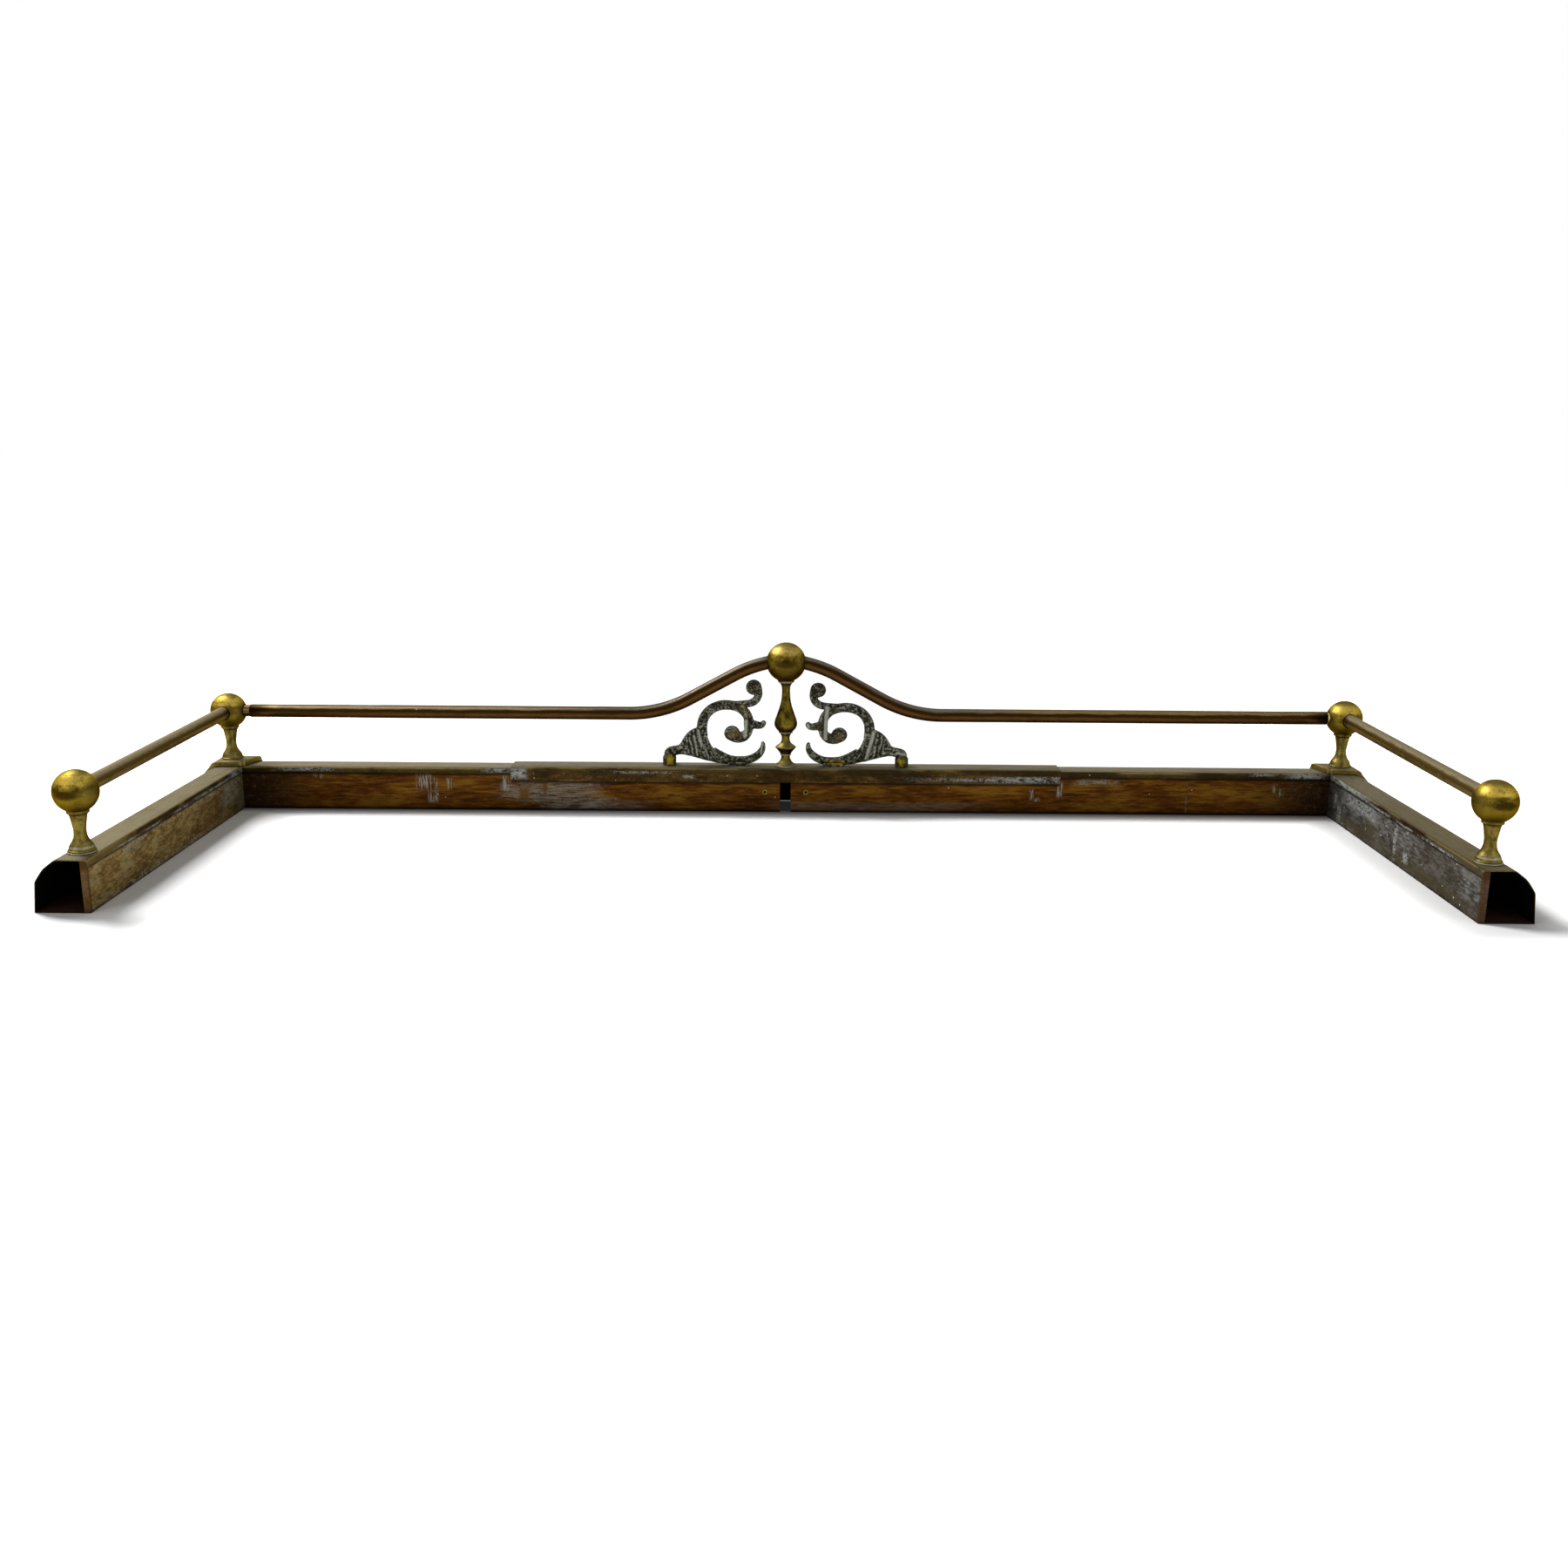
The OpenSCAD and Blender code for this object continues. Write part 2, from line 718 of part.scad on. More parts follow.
// A socket for a side rail, with its countersunk mouth; way is 1 along +Y and -1 along -Y
module side_socket(y, z, way) {
    sink = 1.2;
    mouth = sqrt(ball_r * ball_r - rail_r * rail_r);
    translate([corner_x, y, z])
        rotate([side_slope - 90 * way, 0, 0]) {
            translate([0, 0, socket_floor]) cylinder(r = rail_r + fit, h = ball_d);
            translate([0, 0, mouth - sink])
                cylinder(r1 = rail_r + fit, r2 = rail_r + fit + 2 * sink, h = 2 * sink);
        }
}

module corner_ball() {
    color("#a5842c")
        difference() {
            translate([corner_x, front_y, rail_h]) sphere(r = ball_r);
            translate([corner_x - ball_d, front_y, rail_h])
                rotate([0, 90, 0]) cylinder(r = slide_r + fit, h = ball_d - socket_floor);
            translate([corner_x - ball_d, front_y, rail_h])
                rotate([0, 90, 0]) cylinder(r = rail_r + mouth_gap, h = ball_d - mouth_floor);
            side_socket(front_y, rail_h, -1);
            drill(corner_x, front_y, rail_h - ball_d, rod_r + fit, ball_d - socket_floor);
        }
}

module end_ball() {
    color("#a5842c")
        difference() {
            translate([corner_x, end_y, end_h]) sphere(r = ball_r);
            side_socket(end_y, end_h, 1);
            drill(corner_x, end_y, end_h - ball_d, rod_r + fit, ball_d - socket_floor);
        }
}

module side_rail() {
    color("#6a6348")
        translate([corner_x, front_y, rail_h])
            rotate([90 + side_slope, 0, 0])
                translate([0, 0, socket_floor + fit])
                    linear_extrude(side_l - 2 * (socket_floor + fit)) tube_section(rail_r, rail_r - rail_wall);
}

module slide_tube() {
    color("#b9a25c")
        translate([corner_x - slide_len, front_y, rail_h])
            rotate([0, 90, 0])
                linear_extrude(slide_len - socket_floor - fit) tube_section(slide_r, slide_r - rail_wall);
}

corner_washer_z = under_top - bracket_t - washer_t;
end_washer_z = under_top - washer_t;

module tie_rods() {
    color("#5a564e")
        for (p = [[front_y, corner_washer_z, rail_h], [end_y, end_washer_z, end_h]])
            let (bottom = p[1] - nut_h - rod_tail)
                drill(corner_x, p[0], bottom, rod_r, p[2] - socket_floor - bottom);
}

module washers() {
    color("#5a564e") {
        ring(corner_x, front_y, corner_washer_z, washer_d / 2, hole_r, washer_t);
        ring(corner_x, end_y, end_washer_z, washer_d / 2, hole_r, washer_t);
    }
}

module nuts() {
    color("#5a564e") {
        nut(corner_x, front_y, corner_washer_z - nut_h, rod_r + fit);
        nut(corner_x, end_y, end_washer_z - nut_h, rod_r + fit);
    }
}

// A hollow rivet through the hearth-side plate, near the arm's inner end
module eyelet() {
    head = 0.6;
    wall = 0.6;
    color("#8c7a4a")
        translate([eyelet_x, front_y + plate_u, eyelet_z])
            rotate([-90, 0, 0])
                rotate_extrude()
                    polygon([
                        [eyelet_r - wall, -head], [eyelet_r + 0.9, -head], [eyelet_r + 1.3, 0],
                        [eyelet_r, 0], [eyelet_r, plate_t], [eyelet_r + 1, plate_t],
                        [eyelet_r + 0.7, plate_t + head], [eyelet_r - wall, plate_t + head]
                    ]);
}

// ---- The whole object --------------------------------------------------------------------

centre_cover();
centre_post();
centre_ball();
centre_tie_rod();
centre_clamp_plate();
centre_nut();
left() scroll();  // left_scroll
scroll();  // right_scroll
scroll_washers();
scroll_nuts();
left() swan_rail(left_rail_stop);  // left_swan_rail
swan_rail(right_rail_stop);  // right_swan_rail

left() front_casing();  // left_front_casing
left() side_casing();  // left_side_casing
left() front_back_plate();  // left_front_back_plate
left() side_back_plate();  // left_side_back_plate
left() front_base_plate();  // left_front_base_plate
left() side_base_plate();  // left_side_base_plate
left() corner_cap();  // left_corner_cap
left() corner_bracket();  // left_corner_bracket
left() corner_post();  // left_corner_post
left() corner_ball();  // left_corner_ball
left() end_post();  // left_end_post
left() end_ball();  // left_end_ball
left() side_rail();  // left_side_rail
left() slide_tube();  // left_slide_tube
left() tie_rods();  // left_tie_rods
left() washers();  // left_washers
left() nuts();  // left_nuts
left() eyelet();  // left_eyelet

front_casing();  // right_front_casing
side_casing();  // right_side_casing
front_back_plate();  // right_front_back_plate
side_back_plate();  // right_side_back_plate
front_base_plate();  // right_front_base_plate
side_base_plate();  // right_side_base_plate
corner_cap();  // right_corner_cap
corner_bracket();  // right_corner_bracket
corner_post();  // right_corner_post
corner_ball();  // right_corner_ball
end_post();  // right_end_post
end_ball();  // right_end_ball
side_rail();  // right_side_rail
slide_tube();  // right_slide_tube
tie_rods();  // right_tie_rods
washers();  // right_washers
nuts();  // right_nuts
eyelet();  // right_eyelet
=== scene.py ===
# %% [markdown]
# # An extending brass hearth fender
#
# A fender is a low kerb that stands round a hearth. This one bends round three sides: a hollow kerb
# of pressed brass, a tube rail on ball-topped posts, and two cast scrolls beside a turned centre
# post. It draws out sideways: a long cover hides the place where the left and the right arm meet.
#
# The parts' shapes, places and joints come packed as a fixed frame, in metres. This notebook adds
# what the frame can't hold: bends with a grain along them, rough castings, limescale, and a hundred
# years of tarnish on every surface.

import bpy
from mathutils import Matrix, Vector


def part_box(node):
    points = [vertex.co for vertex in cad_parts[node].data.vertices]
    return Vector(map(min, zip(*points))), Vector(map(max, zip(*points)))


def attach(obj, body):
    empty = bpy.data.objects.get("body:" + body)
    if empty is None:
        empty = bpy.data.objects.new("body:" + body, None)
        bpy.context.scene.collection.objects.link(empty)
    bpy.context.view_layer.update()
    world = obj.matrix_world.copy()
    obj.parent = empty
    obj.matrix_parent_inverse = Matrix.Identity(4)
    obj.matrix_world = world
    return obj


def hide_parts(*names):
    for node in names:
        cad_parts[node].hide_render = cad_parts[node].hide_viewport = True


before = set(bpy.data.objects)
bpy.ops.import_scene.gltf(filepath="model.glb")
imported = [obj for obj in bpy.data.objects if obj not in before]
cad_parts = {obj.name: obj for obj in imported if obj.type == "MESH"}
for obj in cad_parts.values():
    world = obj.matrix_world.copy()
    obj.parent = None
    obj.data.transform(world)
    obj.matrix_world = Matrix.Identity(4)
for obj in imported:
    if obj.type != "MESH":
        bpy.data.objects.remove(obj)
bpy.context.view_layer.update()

# %% [markdown]
# ## Measures
#
# Every place below is worked out from a few measures, and these are read from the frame: the line
# of the posts, the kerb's top, the height of the rails. When the frame changes, the looks follow it.
# Left and right mirror each other, so a side is a name and a sign of x.

# %% Measures that the frame gives
import functools
import math

import bmesh
import bpy
from mathutils import Matrix, Vector

MM = 0.001
WAYS = {"left": -1, "right": 1}


def low(node):
    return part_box(node)[0]


def high(node):
    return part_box(node)[1]


def middle(node):
    return (low(node) + high(node)) / 2


post_line = middle("centre_post").y
end_line = middle("right_end_post").y
open_end = low("right_side_casing").y
corner_x = middle("right_corner_post").x
rail_z = middle("right_corner_ball").z
end_ball_z = middle("right_end_ball").z
rail_r = (high("right_side_rail").x - low("right_side_rail").x) / 2
ball_z = middle("centre_ball").z
kerb_top = high("right_side_casing").z
cover_top = high("centre_cover").z
cover_end = high("centre_cover").x
reach = post_line - low("right_front_casing").y
plate_y = low("right_front_back_plate").y
print(f"posts at y = {post_line:.4f}, corners at x = {corner_x:.4f}, kerb {kerb_top:.4f} high")

# %% [markdown]
# ## The camera
#
# The fender is seen from the hearth, a little from above, with all of it in view. A camera is a
# place and three directions. Building its matrix from the directions keeps a small roll exact,
# where three Euler angles would need care about their order.

# %% The camera
camera_place = Vector((0.0035, -1.5447, 0.4495))
pitch = math.radians(13.556)
yaw = math.radians(-0.172)
roll = math.radians(0.378)

look = Vector((math.sin(yaw) * math.cos(pitch), math.cos(yaw) * math.cos(pitch), -math.sin(pitch)))
level = Vector((math.cos(yaw), -math.sin(yaw), 0))
rise = level.cross(look)
right = math.cos(roll) * level + math.sin(roll) * rise
up = math.cos(roll) * rise - math.sin(roll) * level

lens = bpy.data.cameras.new("camera")
lens.sensor_width = 36
lens.lens = 33.30
camera = bpy.data.objects.new("camera", lens)
turned = Matrix((right, up, -look)).transposed().to_4x4()
camera.matrix_world = Matrix.Translation(camera_place) @ turned
bpy.context.scene.collection.objects.link(camera)
bpy.context.scene.camera = camera
print(f"the camera looks down by {math.degrees(pitch):.1f} degrees from {camera_place.z:.2f} m up")

# %% [markdown]
# ## A notation for node trees
#
# Materials and Geometry Nodes are sums of many small steps. Wired up node by node they are hard to
# read, so one class wraps a socket and lets Python's own operators add the Math nodes: `1 - dust`
# is a node, and reads as what it means. Every other node comes from one method, `add`.

# %% Sums that build node trees
class Wire:
    """An output socket. Python's operators on it add Math nodes to its tree."""

    def __init__(self, graph, socket):
        self.graph = graph
        self.socket = socket

    def math(self, operation, *values):
        return self.graph.add("ShaderNodeMath", {"operation": operation}, dict(enumerate(values)))

    def __add__(self, other):
        return self.math("ADD", self, other)

    def __sub__(self, other):
        return self.math("SUBTRACT", self, other)

    def __rsub__(self, other):
        return self.math("SUBTRACT", other, self)

    def __mul__(self, other):
        return self.math("MULTIPLY", self, other)

    def __truediv__(self, other):
        return self.math("DIVIDE", self, other)

    def __rtruediv__(self, other):
        return self.math("DIVIDE", other, self)

    def __abs__(self):
        return self.math("ABSOLUTE", self)

    __radd__ = __add__
    __rmul__ = __mul__

    def most(self, other):
        return self.math("MAXIMUM", self, other)

    def least(self, other):
        return self.math("MINIMUM", self, other)

    def rise(self, start, end):
        """A smooth step: 0 below start, 1 above end."""
        return self.graph.add("ShaderNodeMapRange", {"interpolation_type": "SMOOTHSTEP"},
                              {0: self, 1: start, 2: end})

    def fall(self, start, end):
        """A smooth step down: 1 below start, 0 above end."""
        return 1 - self.rise(start, end)


class Graph:
    """A node tree that is written in Python."""

    def __init__(self, tree):
        self.tree = tree

    def add(self, kind, settings=None, sockets=None, output=0):
        """Adds a node. The settings come first, then the values or wires of its input sockets."""
        node = self.tree.nodes.new(kind)
        for name, value in (settings or {}).items():
            setattr(node, name, value)
        for name, value in (sockets or {}).items():
            if isinstance(value, Wire):
                self.tree.links.new(value.socket, node.inputs[name])
            else:
                node.inputs[name].default_value = value
        if isinstance(output, tuple):
            return [Wire(self, node.outputs[name]) for name in output]
        return None if output is None else Wire(self, node.outputs[output])


# %% [markdown]
# ## The room
#
# The fender stands on a plain white floor in soft light. A large lamp hangs behind it, far to the
# left, so its shadow falls softly to the right and towards the hearth. Two smaller ones stand
# to the left and right of the camera and give the balls their two highlights. The white of the
# background is the world's own colour, for what the camera, a reflection or a refraction sees; what
# it sheds on the fender is weaker, so that the lamps can model the forms.

# %% The world
WHITE = (1, 1, 1, 1)
surround = 0.22


def seen_directly(graph):
    """1 for rays that show the surroundings: those of the camera, of gloss and of glass."""
    camera_ray, glossy, through = graph.add(
        "ShaderNodeLightPath", output=("Is Camera Ray", "Is Glossy Ray", "Is Transmission Ray"))
    return camera_ray.most(glossy).most(through)


world = bpy.data.worlds.new("room")
world.use_nodes = True
world.node_tree.nodes.clear()
air = Graph(world.node_tree)
air_strength = surround + (1 - surround) * seen_directly(air)
background = air.add("ShaderNodeBackground", sockets={"Color": WHITE, "Strength": air_strength})
air.add("ShaderNodeOutputWorld", sockets={"Surface": background}, output=None)
bpy.context.scene.world = world
print("the room sheds", surround, "of the white that it shows")

# %% [markdown]
# A floor that only took light would be grey far out, and one that only glowed would hold no shadow.
# So its paint knows where the kerb stands at rest: how far a point lies beside the line of a leg,
# before the front plates or behind the posts. Away from the kerb the floor is the background's
# white, close to it the light decides. There an ambient occlusion test lifts it to white too where
# it finds nothing near, in whichever place the arms stand. A shadow is painted into its colour in
# the last finger's width before the kerb's foot, and a darker one under the cover, where the light
# hardly gets in.

# %% The floor
floor_albedo = 0.90
floor_lift = 0.015
open_lift = 0.19
open_within = 0.12
floor_half = 12
FLOOR_PAINTED_SHADOW = (0.01, 0.01, 0.01, 1)

floor_material = bpy.data.materials.new("floor_paint")
floor_material.use_nodes = True
floor_material.node_tree.nodes.clear()
ground = Graph(floor_material.node_tree)
floor_x, floor_y, _ = ground.add("ShaderNodeSeparateXYZ", sockets={
    0: ground.add("ShaderNodeTexCoord", output="Object")}, output=(0, 1, 2))
beside = abs(floor_x) - corner_x
behind = floor_y - post_line
leg_gap = abs(beside).most((open_end - floor_y) * 1.5)
front_gap = (plate_y - floor_y).most(beside)
lit_side = floor_x.rise(0, 0.1) * beside.fall(-0.10, -0.02) * 0.85
near_leg = leg_gap.fall(0.04, 0.15) * (1 - lit_side)
near_kerb = near_leg.most(front_gap.fall(0.018, 0.066)) * behind.fall(0.038, 0.050)
# painted shadow: the floor's colour darkens along the foot of the front plates, and more under the
# cover
painted_contact_shadow = front_gap.fall(0.001, 0.020)
painted_cover_shadow = (plate_y - floor_y).fall(-0.008, -0.001) * (abs(floor_x) - cover_end).fall(-0.02, 0)
shade = painted_contact_shadow * 0.75 + painted_cover_shadow * 0.22
paint = ground.add("ShaderNodeMix", {"data_type": "RGBA"}, {
    0: shade, 6: (floor_albedo, floor_albedo, floor_albedo, 1), 7: FLOOR_PAINTED_SHADOW}, output=2)
matt = ground.add("ShaderNodeBsdfDiffuse", sockets={"Color": paint})
open_sky = ground.add(
    "ShaderNodeAmbientOcclusion", {"samples": 6}, {"Distance": open_within}, output="AO")
shown = seen_directly(ground)
lift = ground.add("ShaderNodeEmission", sockets={
    "Color": WHITE, "Strength": (floor_lift + open_lift * open_sky.rise(0.93, 0.99)) * shown})
shaded = ground.add("ShaderNodeAddShader", sockets={0: matt, 1: lift})
plain_white = ground.add("ShaderNodeEmission", sockets={"Color": WHITE, "Strength": shown})
blank = ground.add("ShaderNodeAddShader", sockets={0: matt, 1: plain_white})
mixed = ground.add("ShaderNodeMixShader", sockets={0: near_kerb, 1: blank, 2: shaded})
ground.add("ShaderNodeOutputMaterial", sockets={"Surface": mixed}, output=None)

floor_mesh = bpy.data.meshes.new("floor")
floor_mesh.from_pydata(
    [(-floor_half, -floor_half, 0), (floor_half, -floor_half, 0),
     (floor_half, floor_half, 0), (-floor_half, floor_half, 0)], [], [(0, 1, 2, 3)])
floor_mesh.materials.append(floor_material)
floor = bpy.data.objects.new("floor", floor_mesh)
bpy.context.scene.collection.objects.link(floor)
print("the floor is", 2 * floor_half, "m wide and its paint has", len(ground.tree.nodes), "nodes")

# %% [markdown]
# Lamps of a real size make soft shadows, and the nearer their size is to their distance, the softer.
# The one that hangs over the hearth gives nearly all of the light. The two low ones are weak: they
# are there to be seen in the balls, as windows would be.

# %% The lamps
fender_middle = Vector((0, 0, 0.05))


def lamp(name, place, size, watts):
    """A square soft lamp that looks at the middle of the fender."""
    light = bpy.data.lights.new(name, "AREA")
    light.shape = "SQUARE"
    light.size = size
    light.energy = watts
    holder = bpy.data.objects.new(name, light)
    aim = fender_middle - Vector(place)
    turned = aim.to_track_quat("-Z", "Y").to_matrix().to_4x4()
    holder.matrix_world = Matrix.Translation(place) @ turned
    bpy.context.scene.collection.objects.link(holder)


lamp("lamp_over", (-2.3, 1.3, 2.9), 1.2, 178)
lamp("lamp_left", (-1.6, -1.6, 1.1), 0.8, 6)
lamp("lamp_right", (1.6, -1.5, 1.0), 0.8, 5)
bpy.context.scene.view_settings.view_transform = "Standard"
print(len(bpy.data.lights), "lamps")

# %% [markdown]
# ## How a finish is written
#
# A finish starts from the place of a point on the piece, in the fender's own frame, so a pattern
# stays where it is however the piece is moved or seen. Clouds of noise at several sizes make the
# tarnish; a direction test tells what faces up and gathers dust from what faces down and is painted
# dark as shade.
# Colours are written as linear light, from 0 to 1. Old brass has no clear varnish over it, so its
# gloss is dull, and what it mirrors at a glance stays brown; both are the same for every finish.

# %% Tools for finishes
def rgb(red, green, blue):
    return (red, green, blue, 1)


DULL_GLOSS = 0.12
GLANCE_TINT = rgb(0.45, 0.36, 0.20)


class Finish(Graph):
    """A material that is being written, on the place and the direction of a point of the piece."""

    def __init__(self, name):
        self.material = bpy.data.materials.new(name)
        self.material.use_nodes = True
        super().__init__(self.material.node_tree)
        self.tree.nodes.clear()
        self.place = self.add("ShaderNodeTexCoord", output="Object")
        self.x, self.y, self.z = self.parts(self.place)

    def parts(self, vector):
        return self.add("ShaderNodeSeparateXYZ", sockets={0: vector}, output=(0, 1, 2))

    def facing(self):
        """The surface's direction as three wires."""
        return self.parts(self.add("ShaderNodeNewGeometry", output="Normal"))

    def cloud(self, size, stretch=(1, 1, 1), detail=3, roughness=0.55, shift=0, place=None):
        """Noise round 0.5 with blobs of this size in mm, made longer along some axes."""
        scale = tuple(1 / (size * MM * s) for s in stretch)
        vector = self.add("ShaderNodeVectorMath", {"operation": "MULTIPLY_ADD"},
                          {0: place or self.place, 1: scale, 2: (shift, shift * 0.7, shift * 1.3)})
        return self.add("ShaderNodeTexNoise", sockets={
            "Vector": vector, "Scale": 1, "Detail": detail, "Roughness": roughness})

    def specks(self, cell, size, share, shift=0):
        """1 in round dots, in a share of the cells of a loose grid; cell, size and shift in mm."""
        vector = self.add("ShaderNodeVectorMath", {"operation": "ADD"}, {
            0: self.place, 1: (shift * MM, shift * MM, shift * MM)})
        distance, colour = self.add("ShaderNodeTexVoronoi", sockets={
            "Vector": vector, "Scale": 1 / (cell * MM)}, output=("Distance", "Color"))
        chosen = self.parts(colour)[0].fall(share, share + 0.01)
        return distance.fall(size / cell * 0.6, size / cell) * chosen

    def stored(self, name):
        """A number that the piece's mesh holds at every point."""
        return self.add("ShaderNodeAttribute", {"attribute_name": name}, output="Fac")

    def blend(self, colour, other, share):
        return self.add("ShaderNodeMix", {"data_type": "RGBA"}, {
            0: share, 6: colour, 7: other}, output=2)

    def ink(self, colour, *layers):
        """Lays one colour after another over the first, each by its own share."""
        for share, layer in layers:
            colour = self.blend(colour, layer, share)
        return colour

    def done(self, colour, roughness, metallic, height, depth):
        """Joins the shader: height is a relief of this depth in mm."""
        normal = self.add("ShaderNodeBump", sockets={
            "Strength": 1, "Distance": depth * MM, "Height": height})
        shader = self.add("ShaderNodeBsdfPrincipled", sockets={
            "Base Color": colour, "Roughness": roughness, "Metallic": metallic, "Normal": normal,
            "Specular IOR Level": DULL_GLOSS, "Specular Tint": GLANCE_TINT})
        self.add("ShaderNodeOutputMaterial", sockets={"Surface": shader}, output=None)
        return self.material


def made(*finishes):
    """Prints what a cell of finishes made."""
    for finish in finishes:
        print(finish.name, "has", len(finish.node_tree.nodes), "nodes")


# %% [markdown]
# ## The colours of old brass
#
# Brass that nobody polishes goes from gold to olive and then to a brown that is almost black. Smoke
# and polish settle on what faces up as a grey film, hands keep the edges golden, and wet cleaning
# leaves lime, which is white and matt. All finishes below mix the same few colours.

# %% Colours
GILT = rgb(0.165, 0.130, 0.055)
OLD_GOLD = rgb(0.130, 0.085, 0.012)
HONEY = rgb(0.075, 0.040, 0.006)
BROWN = rgb(0.034, 0.017, 0.004)
# This black is painted shade: the inside of the kerb, the strips under its lips, its foot.
PAINTED_SHADE_BLACK = rgb(0.004, 0.003, 0.002)
FILM = rgb(0.190, 0.172, 0.125)
LIME = rgb(0.48, 0.47, 0.40)
print("brass is old gold at", OLD_GOLD[:3], "and brown at", BROWN[:3])

# %% [markdown]
# ## The kerb's sheet brass
#
# The kerb is sheet brass, folded over a former and open below. On the real one the flat top is dull
# and grey with faint lines from wiping, the fold on the hearth side shows a thin golden line, rubbed
# brass with a painted highlight on its round, the lip below it is brown and spotted with lime, and
# the inside lies in shade, which is painted black. A picture could be wrapped round it, but each
# zone is already known from the section: how far a point is from the line of the posts, how high it
# is, and where it faces. So the finish reads those, and fits every length of kerb.
#
# Lime doesn't follow the section: it lies where water stood. A mark is a soft box whose edge is
# frayed by noise, and a list of places and sizes says where the marks are.

# %% Marks with frayed edges
def union(masks):
    """1 where at least one of the masks is."""
    return functools.reduce(Wire.most, masks)


def marks(finish, along, noise, fray, places):
    """1 inside the marks: each is the middle along and up, and half its length and height, in mm."""
    ragged = (noise - 0.5) * (fray * MM)
    masks = []
    for middle_along, middle_up, half_length, half_height in places:
        beyond = (abs(along - middle_along * MM) / half_length).most(
            abs(finish.z - middle_up * MM) / half_height) - MM
        soft = min(half_length, half_height)
        masks.append((beyond * soft + ragged).fall(-0.45 * soft * MM, 0.55 * soft * MM))
    return union(masks)


# %% [markdown]
# The section is the same all round, so one function writes the finish of the cover, of the front and
# of both legs. Only what runs along the kerb differs: on the front that is x, on a leg it is y. What
# faces the core of the section is its inside, which nobody sees in the light, so it is painted black
# as shade.

# %% The finish of a length of kerb
def kerb_brass(name, node, film, lip_colour, edge_colour, crusts, side=False):
    """The brass of a length of kerb: a film on its top, a lip, and lime where it has run."""
    brass = Finish(name)
    nx, ny, nz = brass.facing()
    if side:
        u = abs(brass.x) - corner_x
        along = brass.y - post_line
        facing_out = nx * brass.x.math("SIGN", brass.x)
        fold_u = -reach
        grain = (1, 12, 1)
        rust_share = 0
    else:
        u = brass.y - post_line
        along = brass.x
        facing_out = ny
        fold_u = low(node).y - post_line
        grain = (12, 1, 1)
        rust_share = 0.5

    core_u = 8 * MM
    core_z = 25 * MM
    rubbed_below = 1.1 * MM
    below = high(node).z - brass.z
    # painted shade: the faces towards the core of the section, inside the kerb, are painted black
    inside = (facing_out * (u - core_u) + nz * (brass.z - core_z)).fall(-6 * MM, -2 * MM)
    top = nz.rise(0.72, 0.97)
    lip = facing_out.fall(-0.95, -0.5)
    wipe = brass.cloud(1.8, grain, detail=4, roughness=0.7)
    broad = brass.cloud(34, tuple(s ** 0.4 for s in grain), detail=5, roughness=0.6)
    mottle = brass.cloud(4, tuple(s ** 0.35 for s in grain), detail=5, roughness=0.7, shift=7)
    fine = brass.cloud(1.3, detail=4, roughness=0.75, shift=5)
    # a golden line just below the fold, rubbed brass and a painted highlight on the fold's round; the
    # top of the lip is lighter with it
    line = (abs(below - rubbed_below) + (mottle - 0.5) * 1.6 * MM).fall(0.4 * MM, 1.1 * MM)
    gilt = line * broad.rise(0.42, 0.56)
    grainy = (fine * 0.4 + mottle * 0.6).rise(0.45, 0.53)
    crust = marks(brass, along, mottle, 12, crusts) * grainy * (1 - top * 0.6)
    crust = crust * facing_out.fall(0.1, 0.5)
    spots = brass.specks(9, 0.9, 0.16) * lip
    edge_dirt = (abs(u - fold_u) + (mottle - 0.5) * 3 * MM).fall(0.5 * MM, 4.5 * MM) * top
    rusty = lip * below.rise(6 * MM, 10 * MM) * mottle.rise(0.44, 0.58) * rust_share
    open_cut = (ny * ny if side else nx * nx).rise(0.6, 0.9)
    lip_shadow = rgb(0.010, 0.006, 0.002)

    colour = brass.ink(
        brass.blend(HONEY, OLD_GOLD, broad.rise(0.38, 0.62)),
        (fine.rise(0.52, 0.72) * 0.6, BROWN),
        (top * (0.55 + 0.45 * wipe.rise(0.34, 0.56)), film),
        (top * mottle.rise(0.52, 0.72) * 0.45, lip_colour),
        (top * broad.fall(0.30, 0.46) * 0.35, HONEY),
        (edge_dirt * 0.55, lip_colour),
        (open_cut * 0.9, rgb(0.020, 0.013, 0.006)),
        (lip * 0.93, lip_colour),
        (lip * below.fall(2.5 * MM, 5 * MM) * 0.5, edge_colour),
        (lip * mottle.rise(0.50, 0.62) * 0.5, edge_colour),
        (rusty, rgb(0.090, 0.042, 0.010)),
        (lip * broad.fall(0.42, 0.54) * 0.75, lip_shadow),
        (lip * fine.fall(0.34, 0.46) * 0.7, lip_shadow),
        (lip * fine.rise(0.60, 0.70) * 0.4, rgb(0.120, 0.105, 0.065)),
        (gilt * 0.75, GILT),
        (crust * 0.9, rgb(0.32, 0.33, 0.31)),
        (spots, LIME),
        (inside, PAINTED_SHADE_BLACK))
    film_there = top * (1 - edge_dirt)
    dull = (spots + crust).least(1)
    return brass.done(
        colour,
        roughness=0.34 + 0.14 * film_there + 0.20 * fine + 0.25 * dull.most(inside),
        metallic=0.94 - 0.40 * film_there - 0.5 * dull - 0.3 * inside,
        height=wipe * 0.12 + fine * 0.2 + broad * 0.9 + mottle * 0.3 + dull * 0.5, depth=0.6)


# %% [markdown]
# The four lengths differ in the colour of the film, of the lip and of its rubbed edge, and in their
# marks of lime. A mark is written as its middle along and up and half its length and height, in mm.

